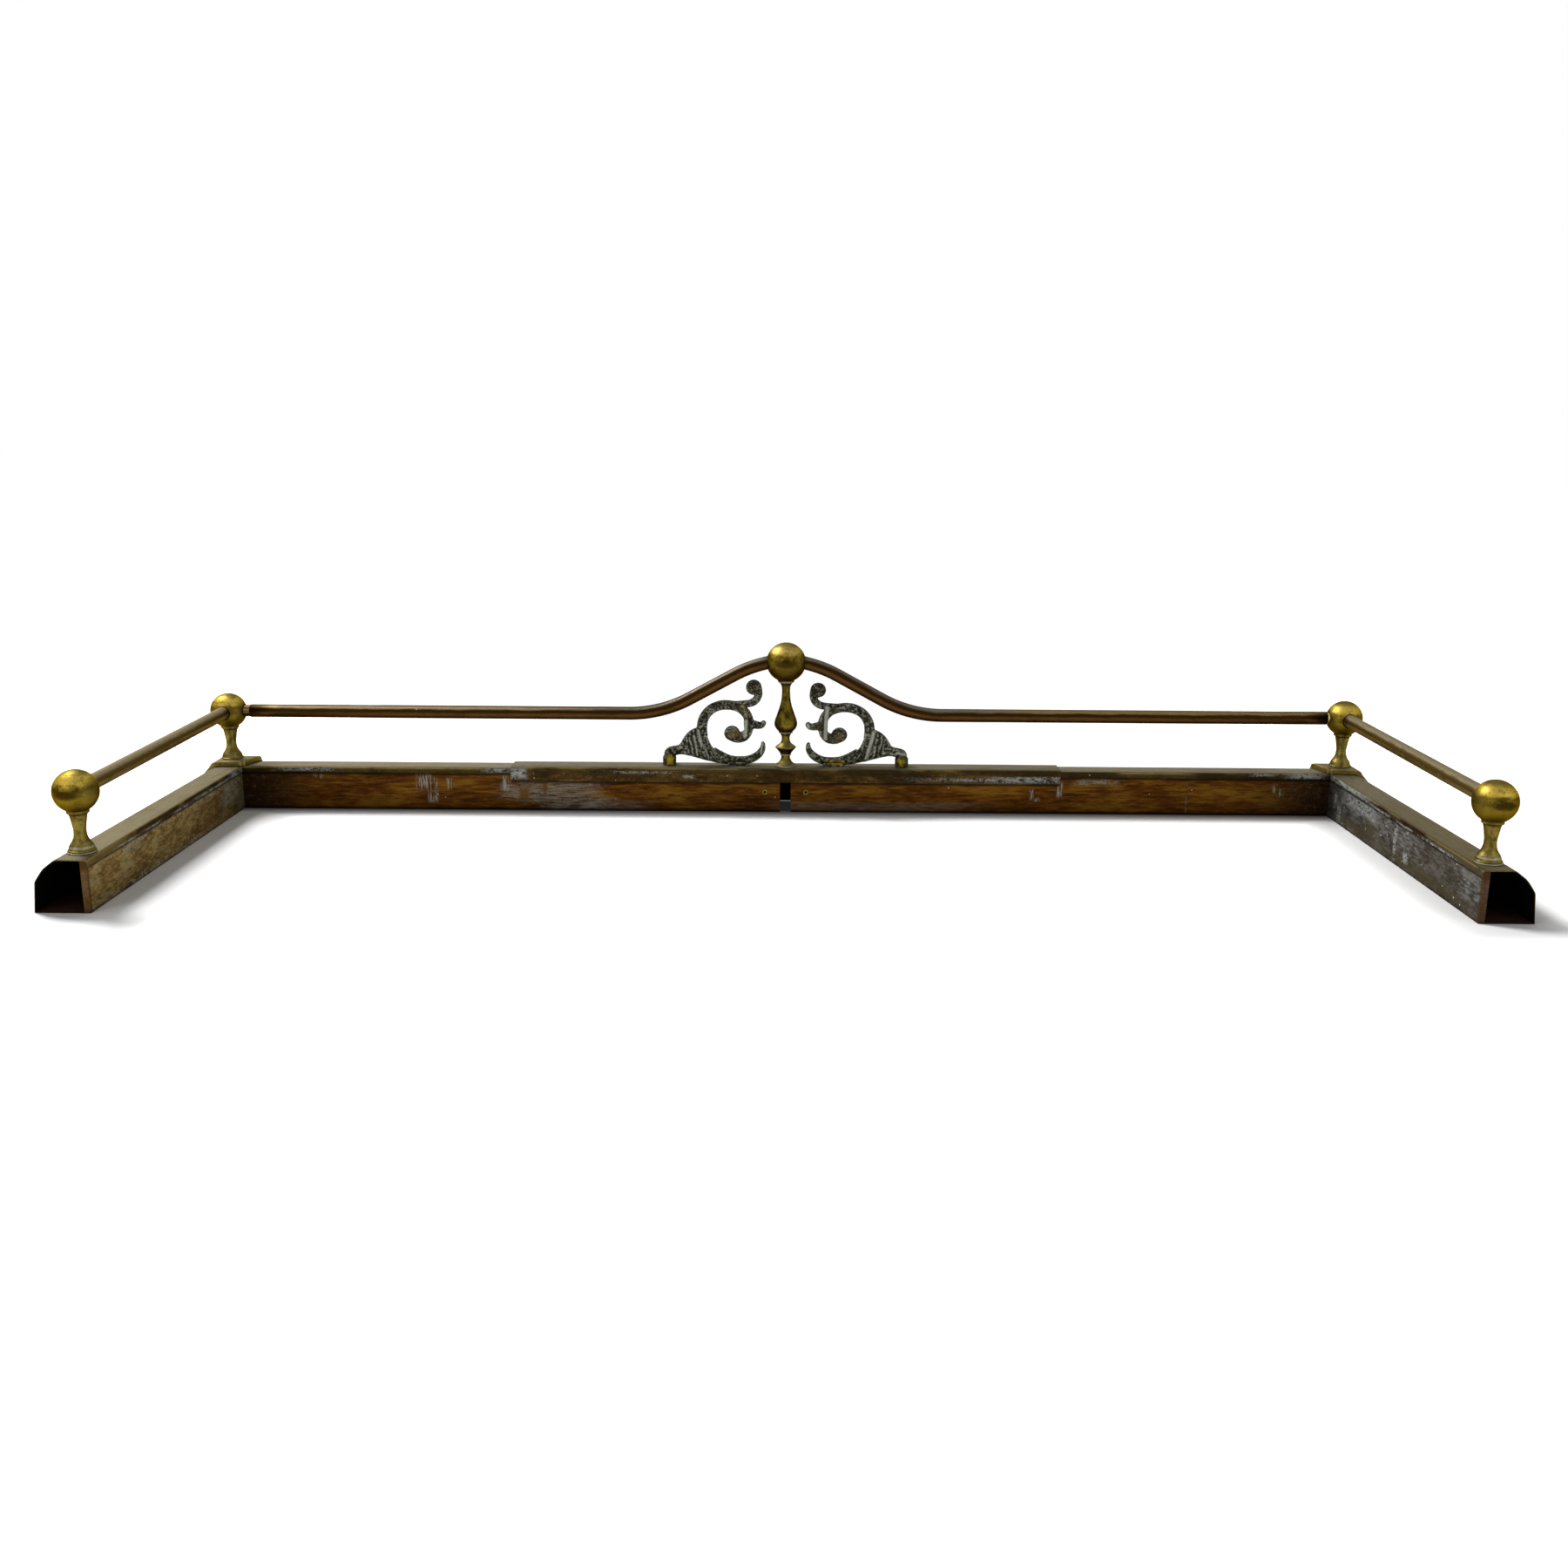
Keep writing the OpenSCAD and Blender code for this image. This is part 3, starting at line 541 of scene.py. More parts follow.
# %% The finishes of the cover and of the casings
cover_brass = kerb_brass(
    "cover_brass", "centre_cover", rgb(0.145, 0.138, 0.100), rgb(0.022, 0.013, 0.004),
    rgb(0.064, 0.043, 0.013), crusts=[
        (-325, 47, 9, 6), (-176, 49, 30, 1.3), (-118, 44, 6, 2), (262, 42.5, 74, 1.8),
        (296, 43, 40, 3.2)])
front_brass = kerb_brass(
    "front_kerb_brass", "right_front_casing", FILM, rgb(0.020, 0.012, 0.004),
    rgb(0.050, 0.036, 0.012), crusts=[
        (-585, 50, 28, 2), (-350, 50, 14, 2.5), (632, 50, 20, 3.5), (580, 51, 12, 1.5)])
left_leg_brass = kerb_brass(
    "left_leg_brass", "left_side_casing", rgb(0.138, 0.126, 0.082), rgb(0.085, 0.064, 0.030),
    rgb(0.110, 0.090, 0.045), side=True, crusts=[
        (-110, 47, 50, 2), (-195, 46.5, 24, 1.6), (-270, 46.5, 18, 1.6), (-330, 46.5, 26, 1.6),
        (-35, 48, 20, 4)])
right_leg_brass = kerb_brass(
    "right_leg_brass", "right_side_casing", rgb(0.135, 0.117, 0.070), rgb(0.058, 0.052, 0.040),
    rgb(0.085, 0.080, 0.068), side=True, crusts=[
        (-78, 50, 58, 3), (-170, 47, 26, 1.6), (-240, 46.5, 20, 1.6), (-322, 46.5, 34, 1.8)])
made(cover_brass, front_brass, left_leg_brass, right_leg_brass)

# %% [markdown]
# ## The plates that face the hearth
#
# Heat and smoke have drawn horizontal streaks on these plates, from gold over a red brown to almost
# black. Over them lie the marks of a hundred years of cleaning: drips, a scrubbed smear, a grey tide
# line near the floor. They are lists of marks again, and the drips among them are filled with
# upright streaks, because they ran down.

# %% The finish of the front plates
def front_plate_brass():
    plate = Finish("front_plate_brass")
    ny = plate.facing()[1]
    streak = plate.cloud(1.9, (11, 1, 1), detail=5, roughness=0.7)
    flame = plate.cloud(3.4, (9, 1, 1), detail=5, roughness=0.65, shift=3)
    blotch = plate.cloud(40, (2.2, 1, 0.6), detail=4, roughness=0.55, shift=8)
    fine = plate.cloud(1.3, detail=4, roughness=0.8, shift=2)
    cloth = plate.cloud(6, (1.6, 1, 1), detail=5, roughness=0.8, shift=6)
    upright = plate.cloud(1.6, (1, 1, 14), detail=4, roughness=0.7, shift=4)

    drips = marks(plate, plate.x, cloth, 5, [
        (-572, 48, 9, 1.2), (-573, 46, 2, 5), (-565, 44, 1.6, 5), (-440, 36, 8, 9), (-430, 24, 5, 12),
        (-409, 32, 3, 6), (-341, 36, 3, 10), (334, 32, 3, 9), (300, 24, 2, 5), (307, 18, 2.4, 2),
        (489, 28, 0.6, 16), (596, 34, 2.4, 4), (604, 29, 2, 4)])
    smear = marks(plate, plate.x, cloth, 22, [
        (-276, 24, 42, 11), (-256, 8, 34, 6), (-330, 24, 16, 8), (380, 41, 16, 3)])
    tide = marks(plate, plate.x, cloth, 14, [(110, 5, 96, 7), (-215, 6, 40, 6), (18, 6, 6, 4)])
    blots = marks(plate, plate.x, cloth, 8, [(-319, 21, 5, 7), (-293, 28, 2, 8)])
    dots = plate.specks(13, 0.9, 0.36)
    corner = (abs(plate.x) + (blotch - 0.5) * 0.12).rise(0.57, 0.65)
    # painted shadow under the lip of the cover and under the lip of the casing, and painted shade at
    # the foot
    under_lip = plate.z.rise(32 * MM, 37 * MM) * (abs(plate.x) - cover_end).fall(-1 * MM, 0)
    under_lip = under_lip.most(plate.z.rise(41 * MM, 45.5 * MM))
    foot = (plate.z + (cloth - 0.5) * 4 * MM).fall(1.4 * MM, 4.6 * MM)

    warmth = blotch * 0.5 + flame * 0.5
    upper = plate.z.rise(8 * MM, 30 * MM)
    smoke = rgb(0.014, 0.006, 0.002)
    colour = plate.ink(
        plate.blend(rgb(0.024, 0.008, 0.0015), rgb(0.058, 0.020, 0.0025), warmth.rise(0.40, 0.52)),
        ((warmth + 0.02 * upper).rise(0.51, 0.60) * 0.75, rgb(0.105, 0.052, 0.0055)),
        (streak.rise(0.54, 0.64) * 0.45, rgb(0.115, 0.058, 0.010)),
        (streak.fall(0.35, 0.48) * 0.8, smoke),
        (fine.fall(0.34, 0.46) * 0.5, smoke),
        (corner * 0.8, rgb(0.020, 0.010, 0.004)),
        (corner * (fine * 0.5 + cloth * 0.5).rise(0.53, 0.60) * 0.7, rgb(0.110, 0.095, 0.065)),
        (tide * (0.25 + 0.75 * streak.rise(0.40, 0.60)) * 0.8, rgb(0.080, 0.064, 0.046)),
        (smear * (streak * 0.7 + fine * 0.3).rise(0.40, 0.58) * 0.8, rgb(0.145, 0.136, 0.106)),
        (blots * 0.8, rgb(0.070, 0.032, 0.004)),
        (drips * upright.rise(0.46, 0.58) * 0.8, rgb(0.26, 0.24, 0.19)),
        (dots, LIME),
        # painted shade: under the lips, at the foot, and on the back faces inside the kerb
        (under_lip * 0.9, PAINTED_SHADE_BLACK),
        (foot * 0.8, PAINTED_SHADE_BLACK),
        (ny.rise(0.2, 0.8), PAINTED_SHADE_BLACK))
    matt = (smear * 0.5 + drips * 0.7 + dots).least(1)
    return plate.done(
        colour, roughness=0.36 + 0.2 * fine + 0.15 * matt, metallic=0.92 - 0.45 * matt,
        height=streak * 0.3 + fine * 0.25 + blotch + matt * 0.4, depth=0.4)


front_plates = front_plate_brass()
made(front_plates)

# %% [markdown]
# The plates of the two legs have weathered apart. The left one is a warm brown, mottled and crusted
# white along its edges, the right one is bleached to the grey of slate, with scribbles of lime near
# the corner. One finish does both, because the side that a point is on is the sign of its x.

# %% The finish of the leg plates
def leg_plate_brass():
    plate = Finish("leg_plate_brass")
    outward = plate.facing()[0] * plate.x.math("SIGN", plate.x)
    on_right = plate.x.rise(-0.01, 0.01)
    along = plate.y - post_line
    brush = plate.cloud(3.2, (1, 4, 1), detail=5, roughness=0.7)
    blotch = plate.cloud(20, (1, 2.4, 1), detail=5, roughness=0.65, shift=4)
    mottle = plate.cloud(6, (1, 1.6, 1), detail=5, roughness=0.75, shift=11)
    fine = plate.cloud(1.6, (1, 1.5, 1), detail=4, roughness=0.8, shift=2)
    scribble = plate.cloud(3, (1, 2, 1.4), detail=5, roughness=0.8, shift=7)
    curls = abs(scribble - 0.5).fall(0.012, 0.05)

    rust = marks(plate, along, mottle, 9, [(-97, 28, 9, 7), (-128, 12, 12, 6)])
    left_pale = marks(plate, along, mottle, 14, [
        (-62, 28, 18, 12), (-316, 40, 16, 6), (-24, 20, 12, 18)])
    left_crust = marks(plate, along, mottle, 9, [
        (-200, 41.5, 200, 1.8), (-240, 3, 150, 3.6), (-40, 40, 40, 5), (-46, 32, 14, 12),
        (-76, 25, 16, 5)])
    right_white = marks(plate, along, mottle, 12, [
        (-112, 38, 42, 8), (-53, 13, 5, 9), (-40, 28, 3, 6), (-216, 26, 3, 16), (-245, 14, 6, 5)])
    right_pale = marks(plate, along, mottle, 18, [
        (-150, 34, 70, 12), (-230, 34, 40, 12), (-398, 30, 26, 14)])
    olive = marks(plate, along, mottle, 12, [(-148, 18, 16, 8), (-100, 10, 40, 5), (-290, 8, 90, 5)])
    dots = plate.specks(10, 1.1, 0.22)
    # painted shadow under the lip, and painted shade at the foot
    under_lip = plate.z.rise(42.5 * MM, 45 * MM)
    foot = (plate.z + (mottle - 0.5) * 3 * MM).fall(0.6 * MM, 2.8 * MM)
    end = (along + 0.4).fall(-0.0145, -0.0135)
    freckled = mottle * 0.5 + fine * 0.5

    left_worn = (blotch * 0.4 + brush * 0.6).rise(0.41, 0.58)
    left = plate.ink(
        plate.blend(rgb(0.085, 0.056, 0.015), rgb(0.290, 0.190, 0.062), left_worn),
        (brush.rise(0.54, 0.66) * 0.6, rgb(0.290, 0.225, 0.110)),
        (mottle.fall(0.34, 0.46) * 0.4, rgb(0.035, 0.023, 0.007)),
        (fine.fall(0.38, 0.50) * 0.7, rgb(0.020, 0.014, 0.005)),
        (blotch.rise(0.53, 0.62) * 0.55, rgb(0.220, 0.195, 0.110)),
        (fine.rise(0.56, 0.68) * 0.5, rgb(0.320, 0.285, 0.190)),
        (rust * 0.7, rgb(0.120, 0.050, 0.009)),
        (left_pale * freckled.rise(0.42, 0.56) * 0.85, rgb(0.210, 0.198, 0.140)),
        (left_crust * freckled.rise(0.50, 0.57), rgb(0.36, 0.35, 0.28)))
    right_worn = (blotch * 0.5 + brush * 0.5).rise(0.41, 0.58)
    right = plate.ink(
        plate.blend(rgb(0.034, 0.030, 0.024), rgb(0.104, 0.100, 0.090), right_worn),
        (mottle.fall(0.36, 0.47) * 0.7, rgb(0.024, 0.018, 0.012)),
        (right_pale * brush.rise(0.44, 0.62) * 0.75, rgb(0.175, 0.180, 0.185)),
        (olive * 0.75, rgb(0.055, 0.046, 0.020)),
        (fine.rise(0.56, 0.68) * 0.5, rgb(0.210, 0.208, 0.195)),
        (right_white * curls.most(mottle.rise(0.55, 0.62)) * 0.9, rgb(0.42, 0.43, 0.42)))
    colour = plate.ink(
        plate.blend(left, right, on_right),
        (dots, LIME),
        # painted shade: under the lip, at the foot, and on the faces inside the kerb
        (under_lip * 0.9, PAINTED_SHADE_BLACK),
        (foot * 0.7, PAINTED_SHADE_BLACK),
        (end * 0.8, rgb(0.060, 0.026, 0.007)),
        (outward.rise(0.2, 0.8), PAINTED_SHADE_BLACK))
    return plate.done(
        colour, roughness=0.42 + 0.22 * fine, metallic=0.70 - 0.4 * dots,
        height=brush * 0.4 + fine * 0.3 + blotch, depth=0.45)


leg_plates = leg_plate_brass()
made(leg_plates)

# %% [markdown]
# ## Balls and posts
#
# The balls are turned brass, and light and shade are painted into their colour. The crown carries a
# painted olive-gold highlight with painted shade on its very top, the underside a painted deep gold
# reflection, and the flanks towards the hearth and the room a dark brown painted reflection; the
# sides and the bottom are painted darker as shade. Corrosion has left small dark pits. On a ball the
# direction of the surface says all of this, so one finish fits every ball wherever it stands, and
# noise moves the borders.

# %% The finish of the balls
def ball_brass(name, crown_colour, top_colour, gold_colour, crown_from):
    """Turned brass with a painted highlight on the crown, a painted dark reflection on its flanks and
    a painted reflection below.
    """
    brass = Finish(name)
    nx, _, nz = brass.facing()
    cloud = brass.cloud(8, (1, 1, 0.6), detail=5, roughness=0.65)
    fine = brass.cloud(1.9, detail=4, roughness=0.75, shift=3)
    turning = brass.cloud(1.2, (16, 16, 1), detail=3, shift=5)
    level = nz + (cloud - 0.5) * 0.40 + (turning - 0.5) * 0.10
    # painted light: a highlight on the crown, shade on the very top, a reflection below, a dark
    # reflection on the flanks, shade at the sides and the bottom
    crown = level.rise(crown_from, crown_from + 0.26)
    lower = level.fall(-0.34, -0.02)
    away = nx * nx * 1.1 + (level - 0.03) * (level - 0.03) * 7
    painted_dark_reflection = away.fall(0.08, 0.65)
    rim = (abs(nx) + (cloud - 0.5) * 0.3).rise(0.62, 0.95)
    base = level.fall(-0.98, -0.74)
    pits = brass.specks(4, 0.8, 0.34).most(brass.specks(8, 1.3, 0.30, shift=13))
    colour = brass.ink(
        brass.blend(rgb(0.085, 0.055, 0.006), rgb(0.140, 0.098, 0.011), cloud.rise(0.40, 0.62)),
        (lower * 0.9, brass.blend(gold_colour, OLD_GOLD, fine.rise(0.48, 0.70) * 0.5)),
        (crown * 0.95, brass.blend(crown_colour, OLD_GOLD, fine.rise(0.46, 0.70) * 0.6)),
        (level.rise(0.70, 0.90) * 0.9, top_colour),
        (rim * 0.7, rgb(0.055, 0.042, 0.010)),
        (cloud.fall(0.36, 0.46) * 0.5, rgb(0.055, 0.034, 0.005)),
        (fine.fall(0.36, 0.44) * 0.4, rgb(0.040, 0.026, 0.005)),
        (painted_dark_reflection * 0.92, rgb(0.020, 0.011, 0.0015)),
        (base * 0.6, BROWN),
        (turning.rise(0.58, 0.70) * 0.35, rgb(0.060, 0.040, 0.005)),
        (pits * 0.8, rgb(0.020, 0.012, 0.002)))
    return brass.done(
        colour, roughness=0.30 + 0.20 * cloud + 0.12 * fine, metallic=1.0,
        height=turning * 0.15 + fine * 0.3 + cloud * 0.6 - pits * 0.5, depth=0.30)


small_balls = ball_brass("ball_brass", rgb(0.430, 0.305, 0.052), rgb(0.115, 0.098, 0.034),
                         rgb(0.130, 0.084, 0.006), crown_from=0.28)
centre_ball = ball_brass("centre_ball_brass", rgb(0.380, 0.275, 0.070), rgb(0.150, 0.118, 0.038),
                         rgb(0.040, 0.024, 0.003), crown_from=0.36)
made(small_balls, centre_ball)

# %% [markdown]
# The posts were turned on a lathe, and polish has reached the beads. Where a turned outline faces
# up it is paler; where it faces down, as in the grooves, and where it turns to the sides, it is
# painted darker as shade. The lathe's own lines run round it, so the noise is long in x and y and
# short in z.

# %% The finish of the posts
def post_brass(name, light, dark, *feet):
    """Turned brass with a thin line of lime at each of these heights."""
    brass = Finish(name)
    nx, _, nz = brass.facing()
    turning = brass.cloud(1.4, (25, 25, 1), detail=4, roughness=0.65)
    cloud = brass.cloud(7, (1, 1, 1.6), detail=5, roughness=0.7, shift=2)
    fine = brass.cloud(1.6, detail=4, roughness=0.75, shift=6)
    # painted shade: darker where the surface faces down and where it turns to the sides
    under = nz.fall(-0.75, -0.10)
    ragged = (fine - 0.5) * 3 * MM
    lime = union((abs(brass.z - foot) + ragged).fall(0.2 * MM, 1.6 * MM) for foot in feet)
    colour = brass.ink(
        brass.blend(dark, light, cloud.rise(0.38, 0.60)),
        (turning.rise(0.52, 0.68) * 0.5, dark),
        (nz.rise(0.35, 0.85) * 0.55, rgb(0.230, 0.195, 0.085)),
        (under * 0.85, BROWN),
        (abs(nx).rise(0.60, 0.95) * 0.6, dark),
        (fine.rise(0.56, 0.72) * 0.6, BROWN),
        (lime * 0.7, rgb(0.26, 0.25, 0.18)))
    return brass.done(
        colour, roughness=0.30 + 0.18 * cloud + 0.14 * fine, metallic=1.0,
        height=turning * 0.25 + fine * 0.35, depth=0.25)


small_posts = post_brass("post_brass", rgb(0.165, 0.125, 0.026), rgb(0.066, 0.048, 0.009),
                         kerb_top + 1 * MM, low("right_corner_post").z + 1 * MM)
centre_grooves = [low("centre_post").z + height * MM for height in (14.2, 41.6, 103.6)]
centre_post = post_brass("centre_post_brass", rgb(0.115, 0.085, 0.010), rgb(0.024, 0.015, 0.003),
                         cover_top + 0.6 * MM, *centre_grooves)
made(small_posts, centre_post)

# %% [markdown]
# ## Caps, iron and hidden parts
#
# The corner caps are castings, filed smooth and olive all over, a little golden on their rim. What
# is rim is a number that the casting's mesh will hold at every point, so the finish reads that.

# %% The finish of the corner caps
def cap_brass():
    brass = Finish("cap_brass")
    nz = brass.facing()[2]
    edge = brass.stored("edge")
    cloud = brass.cloud(9, detail=5, roughness=0.65)
    fine = brass.cloud(1.7, detail=4, roughness=0.75, shift=3)
    top = nz.rise(0.60, 0.95)
    colour = brass.ink(
        brass.blend(rgb(0.085, 0.060, 0.012), rgb(0.170, 0.128, 0.032), cloud.rise(0.36, 0.58)),
        (top * (0.65 + 0.35 * cloud.rise(0.40, 0.60)), rgb(0.185, 0.168, 0.100)),
        (edge.rise(0.03, 0.14) * 0.55, rgb(0.240, 0.190, 0.070)),
        (fine.rise(0.52, 0.70) * 0.6, BROWN),
        # painted shade: what faces down is brown
        (nz.fall(-0.6, -0.1), BROWN))
    return brass.done(
        colour, roughness=0.36 + 0.2 * fine, metallic=0.92 - 0.3 * top,
        height=cloud * 0.7 + fine * 0.3, depth=0.35)


caps = cap_brass()
made(caps)

# %% [markdown]
# The rods, nuts, washers, brackets and the clamp under the top are iron, brown with old rust. Rust
# is matt and no metal, so the same cloud that colours it also lowers the shine.

# %% The finish of the iron parts
def old_iron():
    """Iron that rusts where a cloud is dense, and shines a little between."""
    iron = Finish("old_iron")
    rust = iron.cloud(5, detail=6, roughness=0.7)
    grain = iron.cloud(0.8, detail=3, roughness=0.7, shift=4)
    colour = iron.ink(
        iron.blend(rgb(0.055, 0.048, 0.042), rgb(0.095, 0.085, 0.075), grain.rise(0.4, 0.6)),
        (rust.rise(0.42, 0.62) * 0.8, rgb(0.085, 0.035, 0.014)),
        (rust.rise(0.60, 0.74) * 0.7, rgb(0.16, 0.065, 0.020)))
    return iron.done(
        colour, roughness=0.45 + 0.4 * rust.rise(0.4, 0.6),
        metallic=0.85 - 0.75 * rust.rise(0.42, 0.62), height=rust + grain * 0.4, depth=0.3)


iron = old_iron()
made(iron)

# %% [markdown]
# The plates that the arms stand on are dark sheet iron, painted near black as the shade inside the
# kerb. Of the tubes that slide inside the rails the right one is bright, because it seldom comes out
# of its rail, and the left one, which always looks out a little, has gone as brown as the rail.

# %% The finish of the floor plates and of the sliding tubes
def floor_plate_iron():
    plate = Finish("floor_plate_iron")
    rust = plate.cloud(12, detail=6, roughness=0.7)
    grain = plate.cloud(1.2, detail=3, roughness=0.7, shift=4)
    # painted shade: the iron is darkened nearly to black, as the inside of the kerb lies in shade
    colour = plate.ink(
        plate.blend(rgb(0.018, 0.009, 0.007), rgb(0.036, 0.016, 0.010), rust.rise(0.38, 0.62)),
        (grain.rise(0.55, 0.72) * 0.6, rgb(0.020, 0.012, 0.009)))
    return plate.done(
        colour, roughness=0.65 + 0.25 * grain, metallic=0.25 + 0.3 * rust,
        height=rust + grain * 0.5, depth=0.4)


def tube_brass(name, dark, bright, smoked):
    brass = Finish(name)
    draw = brass.cloud(0.8, (60, 1, 1), detail=3, roughness=0.6)
    smoke = brass.cloud(14, (3, 1, 1), detail=4, shift=6)
    colour = brass.ink(
        brass.blend(dark, bright, draw.rise(0.35, 0.65)),
        (smoke.rise(0.52, 0.72) * 0.7, smoked))
    return brass.done(
        colour, roughness=0.20 + 0.15 * draw + 0.15 * smoke.rise(0.5, 0.7), metallic=1.0,
        height=draw, depth=0.05)


floor_plates = floor_plate_iron()
bright_tube = tube_brass("bright_tube_brass", rgb(0.60, 0.46, 0.18), rgb(0.78, 0.63, 0.30),
                         rgb(0.34, 0.23, 0.07))
brown_tube = tube_brass("brown_tube_brass", rgb(0.060, 0.036, 0.014), rgb(0.110, 0.072, 0.035),
                        rgb(0.034, 0.018, 0.007))
made(floor_plates, bright_tube, brown_tube)

# %% [markdown]
# ## Dressing the pieces of the frame
#
# Where the frame's solid already has the right shape, it stays and only gets its finish. The same
# short names come on both sides, so a loop pairs them with left and right.

# %% Finishes for the solids that stay
def wear(node, finish):
    """Gives every material slot of a piece of the frame this finish."""
    for slot in bpy.data.objects[node].material_slots:
        slot.material = finish


centre_finishes = {
    "centre_cover": cover_brass, "centre_post": centre_post, "centre_ball": centre_ball,
    "centre_tie_rod": iron, "centre_clamp_plate": iron, "centre_nut": iron,
    "scroll_washers": iron, "scroll_nuts": iron}
arm_finishes = {
    "front_casing": front_brass, "front_back_plate": front_plates, "side_back_plate": leg_plates,
    "front_base_plate": floor_plates, "side_base_plate": floor_plates, "corner_bracket": iron,
    "corner_post": small_posts, "end_post": small_posts, "corner_ball": small_balls,
    "end_ball": small_balls, "tie_rods": iron, "washers": iron, "nuts": iron, "eyelet": small_posts}
for node, finish in centre_finishes.items():
    wear(node, finish)
for side in WAYS:
    for node, finish in arm_finishes.items():
        wear(side + "_" + node, finish)
wear("left_side_casing", left_leg_brass)
wear("right_side_casing", right_leg_brass)
wear("left_slide_tube", brown_tube)
wear("right_slide_tube", bright_tube)
print(len(centre_finishes) + 2 * len(arm_finishes) + 4, "pieces keep their solids")

# %% [markdown]
# ## Geometry Nodes on call
#
# Rails, scrolls and castings are made by rules, so Geometry Nodes make them. Each tree takes a mesh
# and a few named sizes. `grow` runs a tree on a mesh and keeps the plain mesh that comes out, so
# that the finished scene holds no live modifier. `hand_over` hangs a piece on its body and hides the
# solid that it stands for, and measures first how far their two boxes differ.

# %% Trees with named inputs
FLOAT = "NodeSocketFloat"
GEOMETRY = "NodeSocketGeometry"


def shape_tree(name, inputs):
    """A new tree with a mesh in and a mesh out, and the wires of its named inputs."""
    tree = bpy.data.node_groups.new(name, "GeometryNodeTree")
    tree.interface.new_socket("Mesh", in_out="INPUT", socket_type=GEOMETRY)
    for label, kind in inputs.items():
        tree.interface.new_socket(label, in_out="INPUT", socket_type=kind)
    tree.interface.new_socket("Result", in_out="OUTPUT", socket_type=GEOMETRY)
    graph = Graph(tree)
    return graph, graph.add("NodeGroupInput", output=("Mesh", *inputs))


def close_tree(graph, shape, material):
    """Ends a tree: instances become real, faces turn smooth and take the material."""
    real = graph.add("GeometryNodeRealizeInstances", sockets={"Geometry": shape})
    smooth = graph.add("GeometryNodeSetShadeSmooth", sockets={"Geometry": real})
    dressed = graph.add("GeometryNodeSetMaterial", sockets={"Geometry": smooth, "Material": material})
    graph.add("NodeGroupOutput", sockets={"Result": dressed}, output=None)


def settle(host):
    """Turns an object with its modifiers into a plain mesh."""
    evaluated = host.evaluated_get(bpy.context.evaluated_depsgraph_get())
    host.data = bpy.data.meshes.new_from_object(evaluated)
    host.modifiers.clear()
    return host


def place_mesh(name, mesh):
    host = bpy.data.objects.new(name, mesh)
    bpy.context.scene.collection.objects.link(host)
    return host


def grow(host, graph, **values):
    """Adds a tree to an object, with its named inputs set, and settles the object."""
    modifier = host.modifiers.new("rule", "NODES")
    modifier.node_group = graph.tree
    for item in graph.tree.interface.items_tree:
        if item.in_out == "INPUT" and item.name in values:
            modifier[item.identifier] = values[item.name]
    return settle(host)


def off_by(piece, node):
    """How far the corners of a piece's box are from those of the solid that it replaces, in mm."""
    corners = [Vector(v.co) for v in piece.data.vertices]
    gaps = [abs(min(c[i] for c in corners) - low(node)[i]) for i in range(3)]
    gaps += [abs(max(c[i] for c in corners) - high(node)[i]) for i in range(3)]
    return round(max(gaps) / MM, 2)


def hand_over(piece, body, node):
    """Gives a finished piece its body, and hides the solid that it stands for."""
    print(piece.name, "has", len(piece.data.polygons), "faces, off by", off_by(piece, node), "mm")
    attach(piece, body)
    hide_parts(node)


# %% [markdown]
# ## The rails
#
# All rails are drawn brass tube. The two swan-necked ones climb to the centre ball in a pair of
# gentle bends. Tube has a grain: the drawing die leaves lines that run along it and follow its
# bends, and dust lies along its upper side, with a painted highlight on it; below the crown a dark
# band, the underside and, on the swan necks, the back of the crown are painted as shade. A plain
# extrusion has no way to tell how far along it a point is, so each rail is swept here from its
# centre line, which a turtle walks, and every point keeps its distance along the rail as an
# attribute for the finish.

